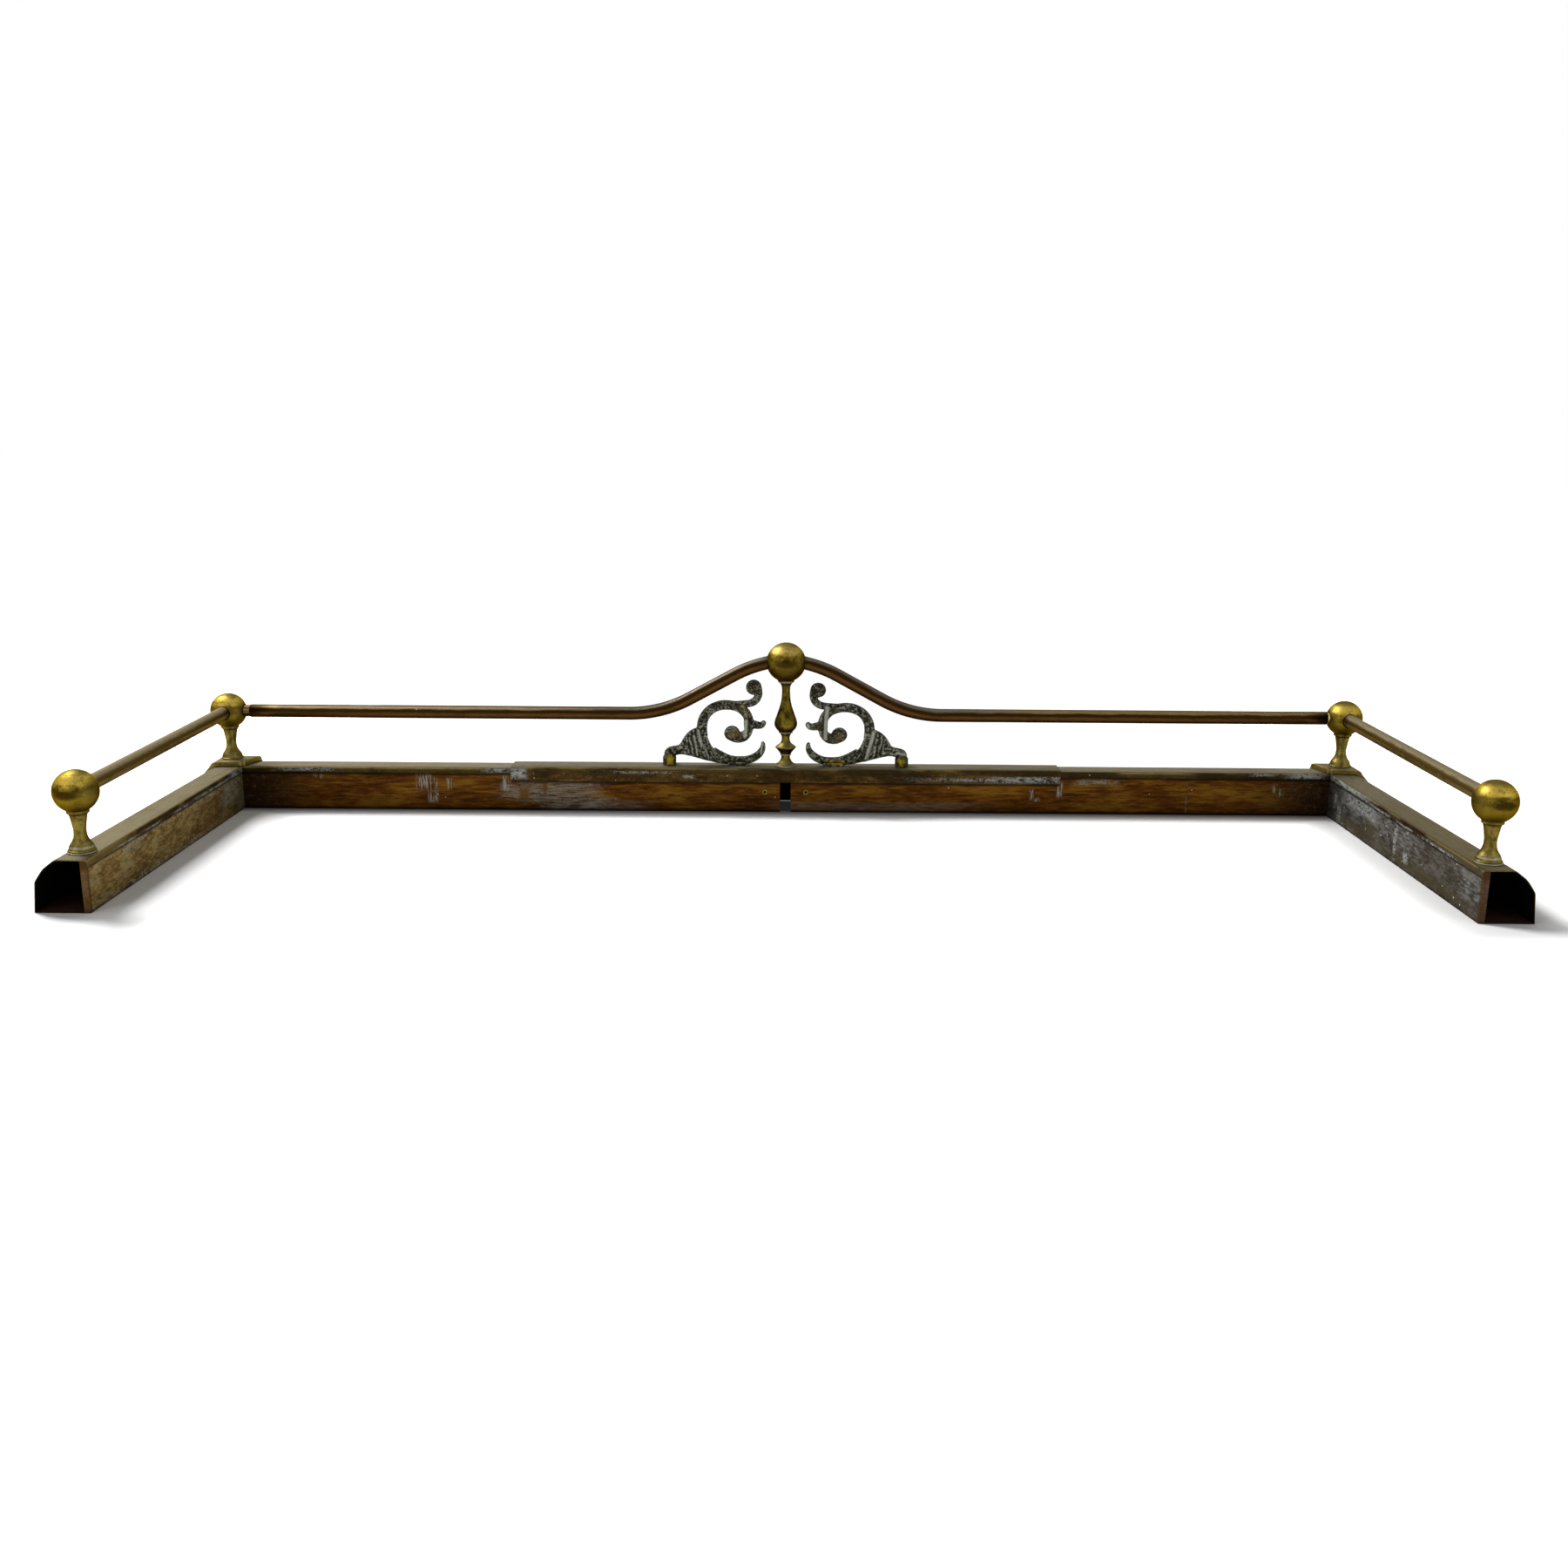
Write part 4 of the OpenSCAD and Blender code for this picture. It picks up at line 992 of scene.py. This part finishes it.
# %% The finish of the rails
def rail_brass(name, crown, gold, ash, flank, shade, radius, gold_from, back_shade):
    """Drawn tube: a crown of dust and painted highlight that turns to gold, or to ash on the left,
    painted shade below it, under the tube and behind its crown, and brown flanks.
    """
    brass = Finish(name)
    normal = brass.add("ShaderNodeNewGeometry", output="Normal")
    ny, nz = brass.parts(normal)[1:]
    along = brass.stored("along")
    drift = brass.add("ShaderNodeCombineXYZ", sockets={0: along / 22, 1: along / 22, 2: along / 22})
    skin = brass.add("ShaderNodeVectorMath", {"operation": "MULTIPLY_ADD"}, {
        0: normal, 1: (radius, radius, radius), 2: drift})
    streak = brass.cloud(1.7, detail=4, roughness=0.65, place=skin)
    line = brass.cloud(0.8, detail=3, shift=3, place=skin)
    cloud = brass.cloud(16, (2, 1, 1), detail=5, roughness=0.65, shift=2)
    fine = brass.cloud(1.7, detail=4, roughness=0.75, shift=7)
    gold_share = abs(brass.x).rise(gold_from, gold_from + 0.14)
    tilt = nz + (streak - 0.5) * 0.35 + (cloud - 0.5) * 0.35
    # dust and a painted highlight on the crown
    dust_and_highlight = tilt.rise(0.42, 0.78)
    gilt = dust_and_highlight * (1 - tilt.rise(0.80, 1.0) * 0.5) * gold_share
    dots = brass.specks(14, 0.9, 0.15)
    # painted shade on the back of the crown, where it faces up and away from the hearth
    painted_back_shade = (ny + brass.x.fall(-0.15, 0) * 0.26).rise(-0.42, -0.08) * nz.rise(0, 0.3) * back_shade
    colour = brass.ink(
        brass.blend(flank, shade, cloud.rise(0.50, 0.66) * 0.4),
        # painted shade: a dark band below the crown and a darker underside; this colour also darkens
        # the grain
        (tilt.rise(-0.10, 0.14) * 0.92, shade),
        (tilt.fall(-0.85, -0.60) * 0.4, shade),
        (dust_and_highlight * 0.92, crown),
        (gilt * 0.8, gold),
        (gilt * brass.x.fall(-0.05, 0) * 0.75, ash),
        (line.rise(0.54, 0.68) * 0.45, shade),
        (fine.rise(0.56, 0.72) * 0.45, shade),
        (fine.fall(0.30, 0.40) * dust_and_highlight * 0.5, LIME),
        (painted_back_shade, rgb(0.020, 0.015, 0.009)),
        (dots * 0.8, LIME))
    return brass.done(
        colour, roughness=0.30 + 0.16 * streak + 0.16 * tilt.rise(0.5, 0.9) + 0.1 * fine,
        metallic=0.97 - 0.35 * tilt.rise(0.6, 0.9) - 0.4 * dots,
        height=streak * 0.3 + line * 0.2 + fine * 0.3 + cloud * 0.6, depth=0.25)


swan_brass = rail_brass("swan_rail_brass", rgb(0.125, 0.105, 0.075), rgb(0.205, 0.130, 0.032),
                        rgb(0.200, 0.155, 0.095), rgb(0.050, 0.024, 0.006), rgb(0.018, 0.008, 0.0015),
                        rail_r, gold_from=0.20, back_shade=0.8)
side_brass = rail_brass("side_rail_brass", rgb(0.200, 0.170, 0.105), rgb(0.150, 0.115, 0.050),
                        rgb(0.150, 0.115, 0.050), rgb(0.150, 0.112, 0.050), rgb(0.070, 0.048, 0.018),
                        rail_r, gold_from=2.0, back_shade=0)
made(swan_brass, side_brass)

# %% [markdown]
# The tree turns a line of edges into a curve, writes each point's distance along it, and sweeps a
# circle. Solidify then gives the tube its wall, inwards, so both of its ends are open as on the real
# rail.

# %% A tree that sweeps a tube
tube_wall = 0.8 * MM


def tube_tree(material):
    graph, (line, radius) = shape_tree("sweep_tube", {"Radius": FLOAT})
    curve = graph.add("GeometryNodeMeshToCurve", sockets={"Mesh": line})
    length = graph.add("GeometryNodeSplineParameter", output="Length")
    marked = graph.add("GeometryNodeStoreNamedAttribute", {"data_type": "FLOAT", "domain": "POINT"},
                       {"Geometry": curve, "Name": "along", "Value": length})
    ring = graph.add("GeometryNodeCurvePrimitiveCircle", {"mode": "RADIUS"},
                     {"Resolution": 48, "Radius": radius})
    tube = graph.add("GeometryNodeCurveToMesh", sockets={"Curve": marked, "Profile Curve": ring})
    close_tree(graph, tube, material)
    return graph


def tube_piece(name, points, material):
    """A tube along these points, with an open wall."""
    mesh = bpy.data.meshes.new(name)
    mesh.from_pydata(points, [(i, i + 1) for i in range(len(points) - 1)], [])
    piece = grow(place_mesh(name, mesh), tube_tree(material), Radius=rail_r)
    wall = piece.modifiers.new("wall", "SOLIDIFY")
    wall.thickness = tube_wall
    wall.offset = -1
    return settle(piece)


# %% [markdown]
# A swan-necked rail leaves the centre ball on a slope, steepens in one bend and comes out level from
# a second. A Bezier curve could draw that by eye, but a bender works with stretches and radii. So
# the centre line is walked like the path of a drawing turtle: a stretch, a bend, a stretch. Where
# its level part ends is read from the frame.

# %% The centre line of a swan-necked rail
class Turtle:
    """Walks in the plane of the front rail and leaves the points of a centre line."""

    def __init__(self, x, z, slope):
        self.x, self.z, self.slope = x, z, slope
        self.points = [(x, z)]

    def step(self, length):
        self.x += length * math.cos(self.slope)
        self.z -= length * math.sin(self.slope)
        self.points.append((self.x, self.z))

    def straight(self, length, steps=1):
        for _ in range(steps):
            self.step(length / steps)

    def bend(self, radius, slope, steps=14):
        """Turns to another slope on a circle of this radius, in short chords."""
        turn = (slope - self.slope) / steps
        for _ in range(steps):
            self.slope += turn / 2
            self.step(2 * radius * math.sin(abs(turn) / 2))
            self.slope += turn / 2


entry_slope = math.radians(14.5)
neck_slope = math.radians(28.5)
upper_bend = 150 * MM
lower_bend = 155 * MM
neck_in = 11 * MM
neck_out = 29 * MM
meet_z = ball_z + 5 * MM


def swan_neck(end_x):
    """From inside the centre ball down to the level stretch, which ends at end_x."""
    start_x = neck_in * math.cos(entry_slope)
    turtle = Turtle(start_x, meet_z - neck_in * math.sin(entry_slope), entry_slope)
    turtle.straight(neck_out - neck_in)
    turtle.bend(upper_bend, neck_slope)
    drop_left = turtle.z - rail_z - lower_bend * (1 - math.cos(neck_slope))
    turtle.straight(drop_left / math.sin(neck_slope), steps=3)
    turtle.bend(lower_bend, 0)
    turtle.straight(end_x - turtle.x, steps=12)
    return turtle.points


for side, way in WAYS.items():
    node = side + "_swan_rail"
    end_x = high(node).x if way > 0 else -low(node).x
    line = [(way * x, post_line, z) for x, z in swan_neck(end_x)]
    rail = tube_piece(side + "_swan_neck", line, swan_brass)
    hand_over(rail, "centre", node)

# %% [markdown]
# The side rails run straight from the corner ball down to the end ball, which is lower by the
# thickness of the corner cap. Their ends sit in sockets, a little outside the balls' centres.

# %% The side rails
drop = Vector((0, end_line - post_line, end_ball_z - rail_z))
socket_depth = 9.05 * MM
steps = 16
for side, way in WAYS.items():
    node = side + "_side_rail"
    corner = Vector((way * corner_x, post_line, rail_z))
    start = corner + drop.normalized() * socket_depth
    stop = corner + drop - drop.normalized() * socket_depth
    line = [tuple(start.lerp(stop, i / steps)) for i in range(steps + 1)]
    rail = tube_piece(side + "_leg_rail", line, side_brass)
    hand_over(rail, side + "_arm", node)

# %% [markdown]
# ## The scrolls
#
# The two scrolls are sand castings: a spiral with a curl above it, a leaf and a foot. Sawn from a
# plate they would be flat, as the frame's solids are. Sculpted, they are a set of strokes, and each
# stroke is a short list of places with its half width there. A tree sweeps a ring along every
# stroke and presses it to its depth, with the full shoulders of a casting. Lumps for the spiral's
# ends, a plate for the leaf and a turned foot join them, and a voxel remesh melts all into one skin,
# as the metal did in the sand.

# %% The strokes of a scroll: x, height above the cover, half width, all in mm
ring = [(101.8, 36, 6.4), (102.2, 47, 6), (99.8, 59, 5.7), (92, 69.5, 5.6), (80, 75.2, 5.6),
        (67, 75.6, 5.5), (56, 72.3, 5.5), (48.6, 65.5, 5.4), (44.8, 57, 5), (44.8, 48, 4.8),
        (47, 41, 5.2), (52, 36.4, 6), (58.5, 35.4, 6.6), (64, 37.5, 7.2)]
curl = [(62, 76, 4.4), (51, 77.2, 4), (42.5, 78.5, 4.2), (36.4, 82.5, 4.3), (33.4, 89, 4.3),
        (34.6, 96, 5.4)]
spur = [(45, 52, 6), (38.5, 51.4, 4.8), (32, 50.6, 4), (28, 52, 3.2), (25.9, 55.4, 1.6)]
tail = [(90, 13.8, 9), (77, 8.8, 6.8), (66, 6.6, 5), (56, 6.2, 4.6), (47, 6.8, 4.6), (39.5, 9.4, 4.6),
        (33, 14, 4.2), (28.8, 20, 3.4), (27.6, 26, 2.3), (28.3, 30, 1.2)]
shank = [(118, 20, 7), (128, 19.4, 5.2), (136, 18.6, 4.8), (142, 16.6, 4.8), (145.6, 12.5, 3.4)]
leaf_edge = [(100, 52), (108.6, 47.2), (115.4, 44.4), (122, 38.6), (126.6, 31), (129.4, 25.4),
             (134.6, 24), (141, 21.6), (146.4, 17.2), (148, 12), (142, 9), (134.8, 12), (128, 14),
             (118, 11.8), (106, 8.6), (95, 5.2), (86, 5), (84, 14), (90, 22), (96, 36)]
stem = [(54, 76, 2.4), (50, 72, 2.6), (48.4, 62, 2.6), (48.2, 50, 2.4), (48, 40, 2.2),
        (50, 34.5, 1.8)]
ribs = [
    [(107, 46, 1.4), (106, 37, 2.2), (101.8, 25, 2.4), (99.8, 16, 1.8), (96.8, 8.6, 1.2)],
    [(112.4, 45, 1), (111.6, 36, 1.4), (109, 26, 1.7), (108.2, 16, 1.2), (106.4, 11, 0.9)],
    [(117, 41, 0.9), (116.6, 32, 1.3), (114.2, 23, 1.5), (113.6, 14, 0.9)],
    [(121.4, 37, 0.9), (120.2, 29, 1.2), (118.8, 19, 1.2), (117.4, 14, 0.8)],
    [(125.8, 30, 0.9), (124.4, 23.6, 1.1), (122.4, 16, 0.8)],
    [(95.4, 30, 1), (92.8, 21, 1.5), (87.8, 11.4, 1.4), (84, 6.8, 0.9)],
    [(90.4, 22, 0.8), (86, 13, 1.2), (81.6, 9, 0.8)]]
strokes = [(3.4, ring), (3.6, curl), (3.2, spur), (3.4, tail), (4.4, shank), (4.3, stem)]
strokes += [(3.9, rib) for rib in ribs]
leaf_depth = 2.3
lumps = [(65.4, 40.4, 9.7, 5.2), (39, 98.2, 9.6, 5.2), (27.2, 53.6, 3.4, 3.4), (47, 6.4, 4.8, 4.0)]
SWELL = 0.45    # mm that a stroke loses at its sides when the skin is melted and eased
print("a scroll has", len(strokes), "strokes and", len(lumps), "lumps")

# %% [markdown]
# Two trees do the work. The first presses swept rings into strokes; a superellipse gives the flat
# face and full shoulders. The second is for anything cast: it roughens the skin as sand does, then
# stores at every point how far, in mm, it stands out from its blurred surroundings. Rubbed edges and
# dirty hollows are painted from that one number.

# %% The trees for strokes and for castings
stroke_step = 1 * MM


def stroke_tree(material):
    graph, (lines, boxiness) = shape_tree("press_strokes", {"Boxiness": FLOAT})
    curve = graph.add("GeometryNodeMeshToCurve", sockets={"Mesh": lines})
    bent = graph.add("GeometryNodeCurveSplineType", {"spline_type": "CATMULL_ROM"}, {"Curve": curve})
    even = graph.add("GeometryNodeResampleCurve", {"mode": "LENGTH"}, {
        "Curve": bent, "Length": stroke_step})
    attribute = ("GeometryNodeInputNamedAttribute", {"data_type": "FLOAT"})
    half_width = graph.add(*attribute, {"Name": "half_width"})
    depth = graph.add(*attribute, {"Name": "depth"})
    ring = graph.add("GeometryNodeCurvePrimitiveCircle", {"mode": "RADIUS"}, {
        "Resolution": 32, "Radius": 1})
    skin = graph.add("GeometryNodeCurveToMesh", sockets={
        "Curve": even, "Profile Curve": ring, "Scale": half_width, "Fill Caps": True})
    x, y, z = graph.add("ShaderNodeSeparateXYZ", sockets={
        0: graph.add("GeometryNodeInputPosition")}, output=(0, 1, 2))
    across = (1 - (z / half_width) * (z / half_width)).most(0)
    pressed = (1 - across.math("POWER", across, boxiness / 2)).most(0)
    height = pressed.math("POWER", pressed, 1 / boxiness) * depth * z.math("SIGN", z)
    place = graph.add("ShaderNodeCombineXYZ", sockets={0: x, 1: y, 2: height})
    stroke = graph.add("GeometryNodeSetPosition", sockets={"Geometry": skin, "Position": place})
    close_tree(graph, stroke, material)
    return graph


def casting_tree(material):
    graph, (skin, roughness, grain) = shape_tree("sand_casting", {"Roughness": FLOAT, "Grain": FLOAT})
    normal = graph.add("GeometryNodeInputNormal")
    noise = graph.add("ShaderNodeTexNoise", sockets={"Scale": 1 / grain, "Detail": 2})
    push = graph.add("ShaderNodeVectorMath", {"operation": "SCALE"}, {
        0: normal, "Scale": (noise - 0.5) * roughness})
    rough = graph.add("GeometryNodeSetPosition", sockets={"Geometry": skin, "Offset": push})
    place = graph.add("GeometryNodeInputPosition")
    blurred = graph.add("GeometryNodeBlurAttribute", {"data_type": "FLOAT_VECTOR"},
                        {"Value": place, "Iterations": 5})
    out = graph.add("ShaderNodeVectorMath", {"operation": "SUBTRACT"}, {0: place, 1: blurred})
    edge = graph.add("ShaderNodeVectorMath", {"operation": "DOT_PRODUCT"}, {
        0: out, 1: normal}, "Value")
    marked = graph.add("GeometryNodeStoreNamedAttribute", {"data_type": "FLOAT", "domain": "POINT"},
                       {"Geometry": rough, "Name": "edge", "Value": edge * 1000})
    close_tree(graph, marked, material)
    return graph


# %% [markdown]
# The real scrolls have aged apart. Both are grey-green with lime in the grain of the sand, which
# stands out on every edge; the right one has a broad white stem, the left one a honey-coloured
# neck. The feet that stand on the cover are still golden. Patches are lines with a soft, frayed
# border. The castings also came out of the sand a little lower than their pattern, the right one by
# a twentieth.

# %% The finish of the scrolls
LOWERED = {-1: 0.985, 1: 0.955}


def near_line(finish, way, ragged, lines):
    """1 close to the lines of a scroll: each is x, height, x, height and half width, in mm."""
    u = finish.x * way / MM
    h = (finish.z - cover_top) / (MM * LOWERED[way])
    masks = []
    for x0, h0, x1, h1, half_width in lines:
        run, climb = x1 - x0, h1 - h0
        share = (((u - x0) * run + (h - h0) * climb) / (run * run + climb * climb)).most(0).least(1)
        aside, above = u - x0 - share * run, h - h0 - share * climb
        away = (aside * aside + above * above) + 0.01
        reached = away.math("SQRT", away) + (ragged - 0.5) * 4
        masks.append(reached.fall(half_width - 1, half_width + 1))
    return union(masks)


def scroll_brass(name, way, white, honey, olive, golden):
    """Limed cast brass; every list holds the lines of one kind of patch."""
    brass = Finish(name)
    edge = brass.stored("edge")
    # painted shade: faces that turn sideways, away from front and back, are darkened nearly to black,
    # the feet's too
    aside = abs(brass.facing()[1]).fall(0.35, 0.85)
    grain = brass.cloud(3.4, detail=5, roughness=0.75)
    blot = brass.cloud(9, detail=4, roughness=0.65, shift=4)
    sand = brass.cloud(0.55, detail=3, roughness=0.7, shift=8)
    rubbed = (edge + (grain - 0.5) * 0.16).rise(0.02, 0.13)
    hollow = (edge + (grain - 0.5) * 0.12).fall(-0.13, -0.01)
    chalky = near_line(brass, way, grain, white) * (0.35 + 0.65 * sand.rise(0.40, 0.56))
    gilt = near_line(brass, way, blot, golden)
    gilt_colour = brass.blend(
        rgb(0.150, 0.108, 0.010), rgb(0.040, 0.027, 0.005), blot.rise(0.44, 0.58).most(aside * 0.8))
    leaf = near_line(brass, way, blot, [(104, 30, 118, 24, 15)])
    colour = brass.ink(
        brass.blend(rgb(0.009, 0.009, 0.004), rgb(0.042, 0.040, 0.022), blot.rise(0.42, 0.60)),
        ((grain + (leaf - 0.5) * 0.05).rise(0.51, 0.58) * 0.85, rgb(0.260, 0.262, 0.210)),
        (grain.fall(0.38, 0.49) * 0.85, rgb(0.006, 0.006, 0.003)),
        (near_line(brass, way, grain, olive) * 0.8,
         brass.blend(rgb(0.012, 0.010, 0.004), rgb(0.048, 0.038, 0.014), grain.rise(0.42, 0.60))),
        (near_line(brass, way, grain, honey) * 0.75, rgb(0.105, 0.072, 0.022)),
        (hollow * 0.85, rgb(0.012, 0.011, 0.006)),
        (rubbed * grain.rise(0.42, 0.54) * 0.7, rgb(0.30, 0.30, 0.24)),
        (aside * 0.85, rgb(0.010, 0.010, 0.005)),
        (chalky, rgb(0.36, 0.36, 0.30)),
        (gilt, gilt_colour))
    return brass.done(
        colour, roughness=0.46 + 0.25 * grain - 0.22 * gilt, metallic=0.35 + 0.6 * gilt,
        height=grain * 0.8 + sand * 0.5 + blot * 0.5, depth=0.35)


# %% [markdown]
# Each line of a patch is written as its two ends and half its width, in mm: x away from the centre
# post, and height above the cover. The same numbers serve left and right, because x is mirrored.

# %% The patches of the two scrolls
scroll_finishes = {
    "left": scroll_brass(
        "left_scroll_brass", -1,
        white=[(106, 44, 103, 24, 0.9), (112, 36, 108, 14, 0.7), (99, 24, 94, 9, 0.6),
               (48, 56, 50, 38, 2.0), (28, 31, 30, 16, 0.9)],
        honey=[(53, 75, 48, 64, 3.4), (60, 42, 66, 40, 5.5)],
        olive=[(55, 36, 56, 35, 3.4), (50, 5, 69, 5, 4.4), (39, 97, 39.4, 98, 7)],
        golden=[(142, 2, 142, 9, 5.4)]),
    "right": scroll_brass(
        "right_scroll_brass", 1,
        white=[(50, 76, 48.2, 36, 2.2), (107.6, 45, 99, 11, 2.2), (136, 18.4, 146, 16, 1.4),
               (27, 53, 28, 51, 1.6)],
        honey=[(62, 34, 68, 40, 3)],
        olive=[(52, 33, 67, 40, 8.2), (38, 98, 40, 99, 8.4), (30, 51, 46, 54, 5)],
        golden=[(142, 2, 142, 9, 5.4), (52.5, 5.6, 69, 5.6, 3.0)])}
made(*scroll_finishes.values())

# %% [markdown]
# The pieces of a scroll are laid flat first, in a plane of their own, and stood up on the cover when
# they have become one mesh. The left scroll is the right one seen in a mirror.

# %% The pieces of a scroll
foot_x = 142 * MM
foot_r = 8.1 * MM
foot_low = 0.1 * MM
foot_waist = 10 * MM
foot_top = 16 * MM
pad_x = 58 * MM
pad_z = 2.5 * MM
pad_size = (24 * MM, 4.9 * MM, 12.6 * MM, 1)
stud_r = 2.5 * MM
stud_top = 2 * MM


def stroke_lines(name):
    """The strokes as chains of edges, with half_width and depth at every point."""
    mesh = bpy.data.meshes.new(name)
    points = [(x * MM, h * MM, 0) for _, stroke in strokes for x, h, _ in stroke]
    ends = set()
    for _, stroke in strokes:
        ends.add(len(stroke) + max(ends, default=0))
    mesh.from_pydata(points, [(i, i + 1) for i in range(len(points) - 1) if i + 1 not in ends], [])
    widths = [(w + SWELL) * MM for _, stroke in strokes for _, _, w in stroke]
    depths = [depth * MM for depth, stroke in strokes for _ in stroke]
    mesh.attributes.new("half_width", "FLOAT", "POINT").data.foreach_set("value", widths)
    mesh.attributes.new("depth", "FLOAT", "POINT").data.foreach_set("value", depths)
    return mesh


def softened(loop, rounds=2):
    """Cuts the corners of a closed outline, each time at a quarter of its sides."""
    for _ in range(rounds):
        pairs = list(zip(loop, loop[1:] + loop[:1]))
        loop = [tuple(a[i] + share * (b[i] - a[i]) for i in (0, 1))
                for a, b in pairs for share in (0.25, 0.75)]
    return loop


def round_bar(body, x, bottom, top, radius, top_radius=None):
    """A bar or a cone that stands on the height axis."""
    turn = Matrix.Rotation(-math.pi / 2, 4, "X")
    bmesh.ops.create_cone(
        body, cap_ends=True, segments=48, radius1=radius, radius2=top_radius or radius,
        depth=top - bottom, matrix=Matrix.Translation((x, (bottom + top) / 2, 0)) @ turn)


def leaf_plate(body):
    """A plate with the outline of the leaf."""
    outline = softened(leaf_edge)
    faces = []
    for depth, order in ((-leaf_depth, -1), (leaf_depth, 1)):
        corners = [body.verts.new((x * MM, h * MM, depth * MM)) for x, h in outline]
        body.faces.new(corners[::-order])
        faces.append(corners)
    for i in range(len(outline)):
        j = (i + 1) % len(outline)
        body.faces.new((faces[0][i], faces[0][j], faces[1][j], faces[1][i]))


def scroll_body(name, node, material):
    """All pieces of a scroll, overlapping, in their own plane."""
    body = bmesh.new()
    pressed = grow(place_mesh(name, stroke_lines(name)), stroke_tree(material), Boxiness=3.0)
    body.from_mesh(pressed.data)
    leaf_plate(body)
    for x, h, radius, depth in lumps:
        size = Matrix.Diagonal((radius * MM, radius * MM, depth * MM, 1))
        bmesh.ops.create_uvsphere(body, u_segments=32, v_segments=16, radius=1,
                                  matrix=Matrix.Translation((x * MM, h * MM, 0)) @ size)
    round_bar(body, foot_x, foot_low, foot_waist, foot_r)
    round_bar(body, foot_x, foot_waist, foot_top, foot_r, 0.6 * foot_r)
    pad = Matrix.Translation((pad_x, pad_z, 0)) @ Matrix.Diagonal(pad_size)
    bmesh.ops.create_cube(body, size=1, matrix=pad)
    for x in (pad_x, foot_x):
        round_bar(body, x, low(node).z - cover_top, stud_top, stud_r)
    body.to_mesh(pressed.data)
    body.free()
    return pressed


print("the feet of a scroll are", round((foot_x - pad_x) / MM), "mm apart")

# %% [markdown]
# A voxel remesh lays one closed skin round everything, and a few rounds of smoothing take off its
# edges. Then a matrix stands the scroll up: its height becomes z. The left one is also turned round,
# which gives the mirror image, because every stroke is as deep in front as behind.

# %% Melting the pieces into castings
def melt(host, voxel, rounds):
    """One closed skin round all that a host holds, with its edges rounded off."""
    skin = host.modifiers.new("skin", "REMESH")
    skin.mode = "VOXEL"
    skin.voxel_size = voxel
    ease = host.modifiers.new("ease", "SMOOTH")
    ease.factor = 0.5
    ease.iterations = rounds
    return settle(host)


for side, way in WAYS.items():
    node = side + "_scroll"
    finish = scroll_finishes[side]
    scroll = melt(scroll_body(side + "_cast_scroll", node, finish), voxel=0.62 * MM, rounds=2)
    stand = Matrix((
        (way, 0, 0, 0), (0, 0, -way, post_line), (0, LOWERED[way], 0, cover_top), (0, 0, 0, 1)))
    scroll.data.transform(stand)
    grow(scroll, casting_tree(finish), Roughness=0.5 * MM, Grain=1.8 * MM)
    hand_over(scroll, "centre", node)

# %% [markdown]
# ## Corner caps
#
# The saddle-shaped caps over the corners are castings too. Their solids only need what a file and a
# hundred years do to a casting: a merged copy is melted into a skin with soft edges, and the same
# casting tree roughens it. The melting wears a little off, so the tops start 1.8 mm higher.

# %% The corner caps
def merged_copy(node, name):
    """A copy of a solid's mesh whose faces share their corners."""
    body = bmesh.new()
    body.from_mesh(bpy.data.objects[node].data)
    bmesh.ops.remove_doubles(body, verts=body.verts, dist=0.001 * MM)
    mesh = bpy.data.meshes.new(name)
    body.to_mesh(mesh)
    body.free()
    return place_mesh(name, mesh)


worn_off = 1.8 * MM
flank_from = 0.5 * MM
flank = 2 * MM
for side in WAYS:
    node = side + "_corner_cap"
    cap = merged_copy(node, side + "_cast_cap")
    for corner in cap.data.vertices:
        corner.co.z += worn_off * min(1, max(0, corner.co.z - kerb_top - flank_from) / flank)
    melt(cap, voxel=0.7 * MM, rounds=4)
    grow(cap, casting_tree(caps), Roughness=0.18 * MM, Grain=4 * MM)
    hand_over(cap, side + "_arm", node)
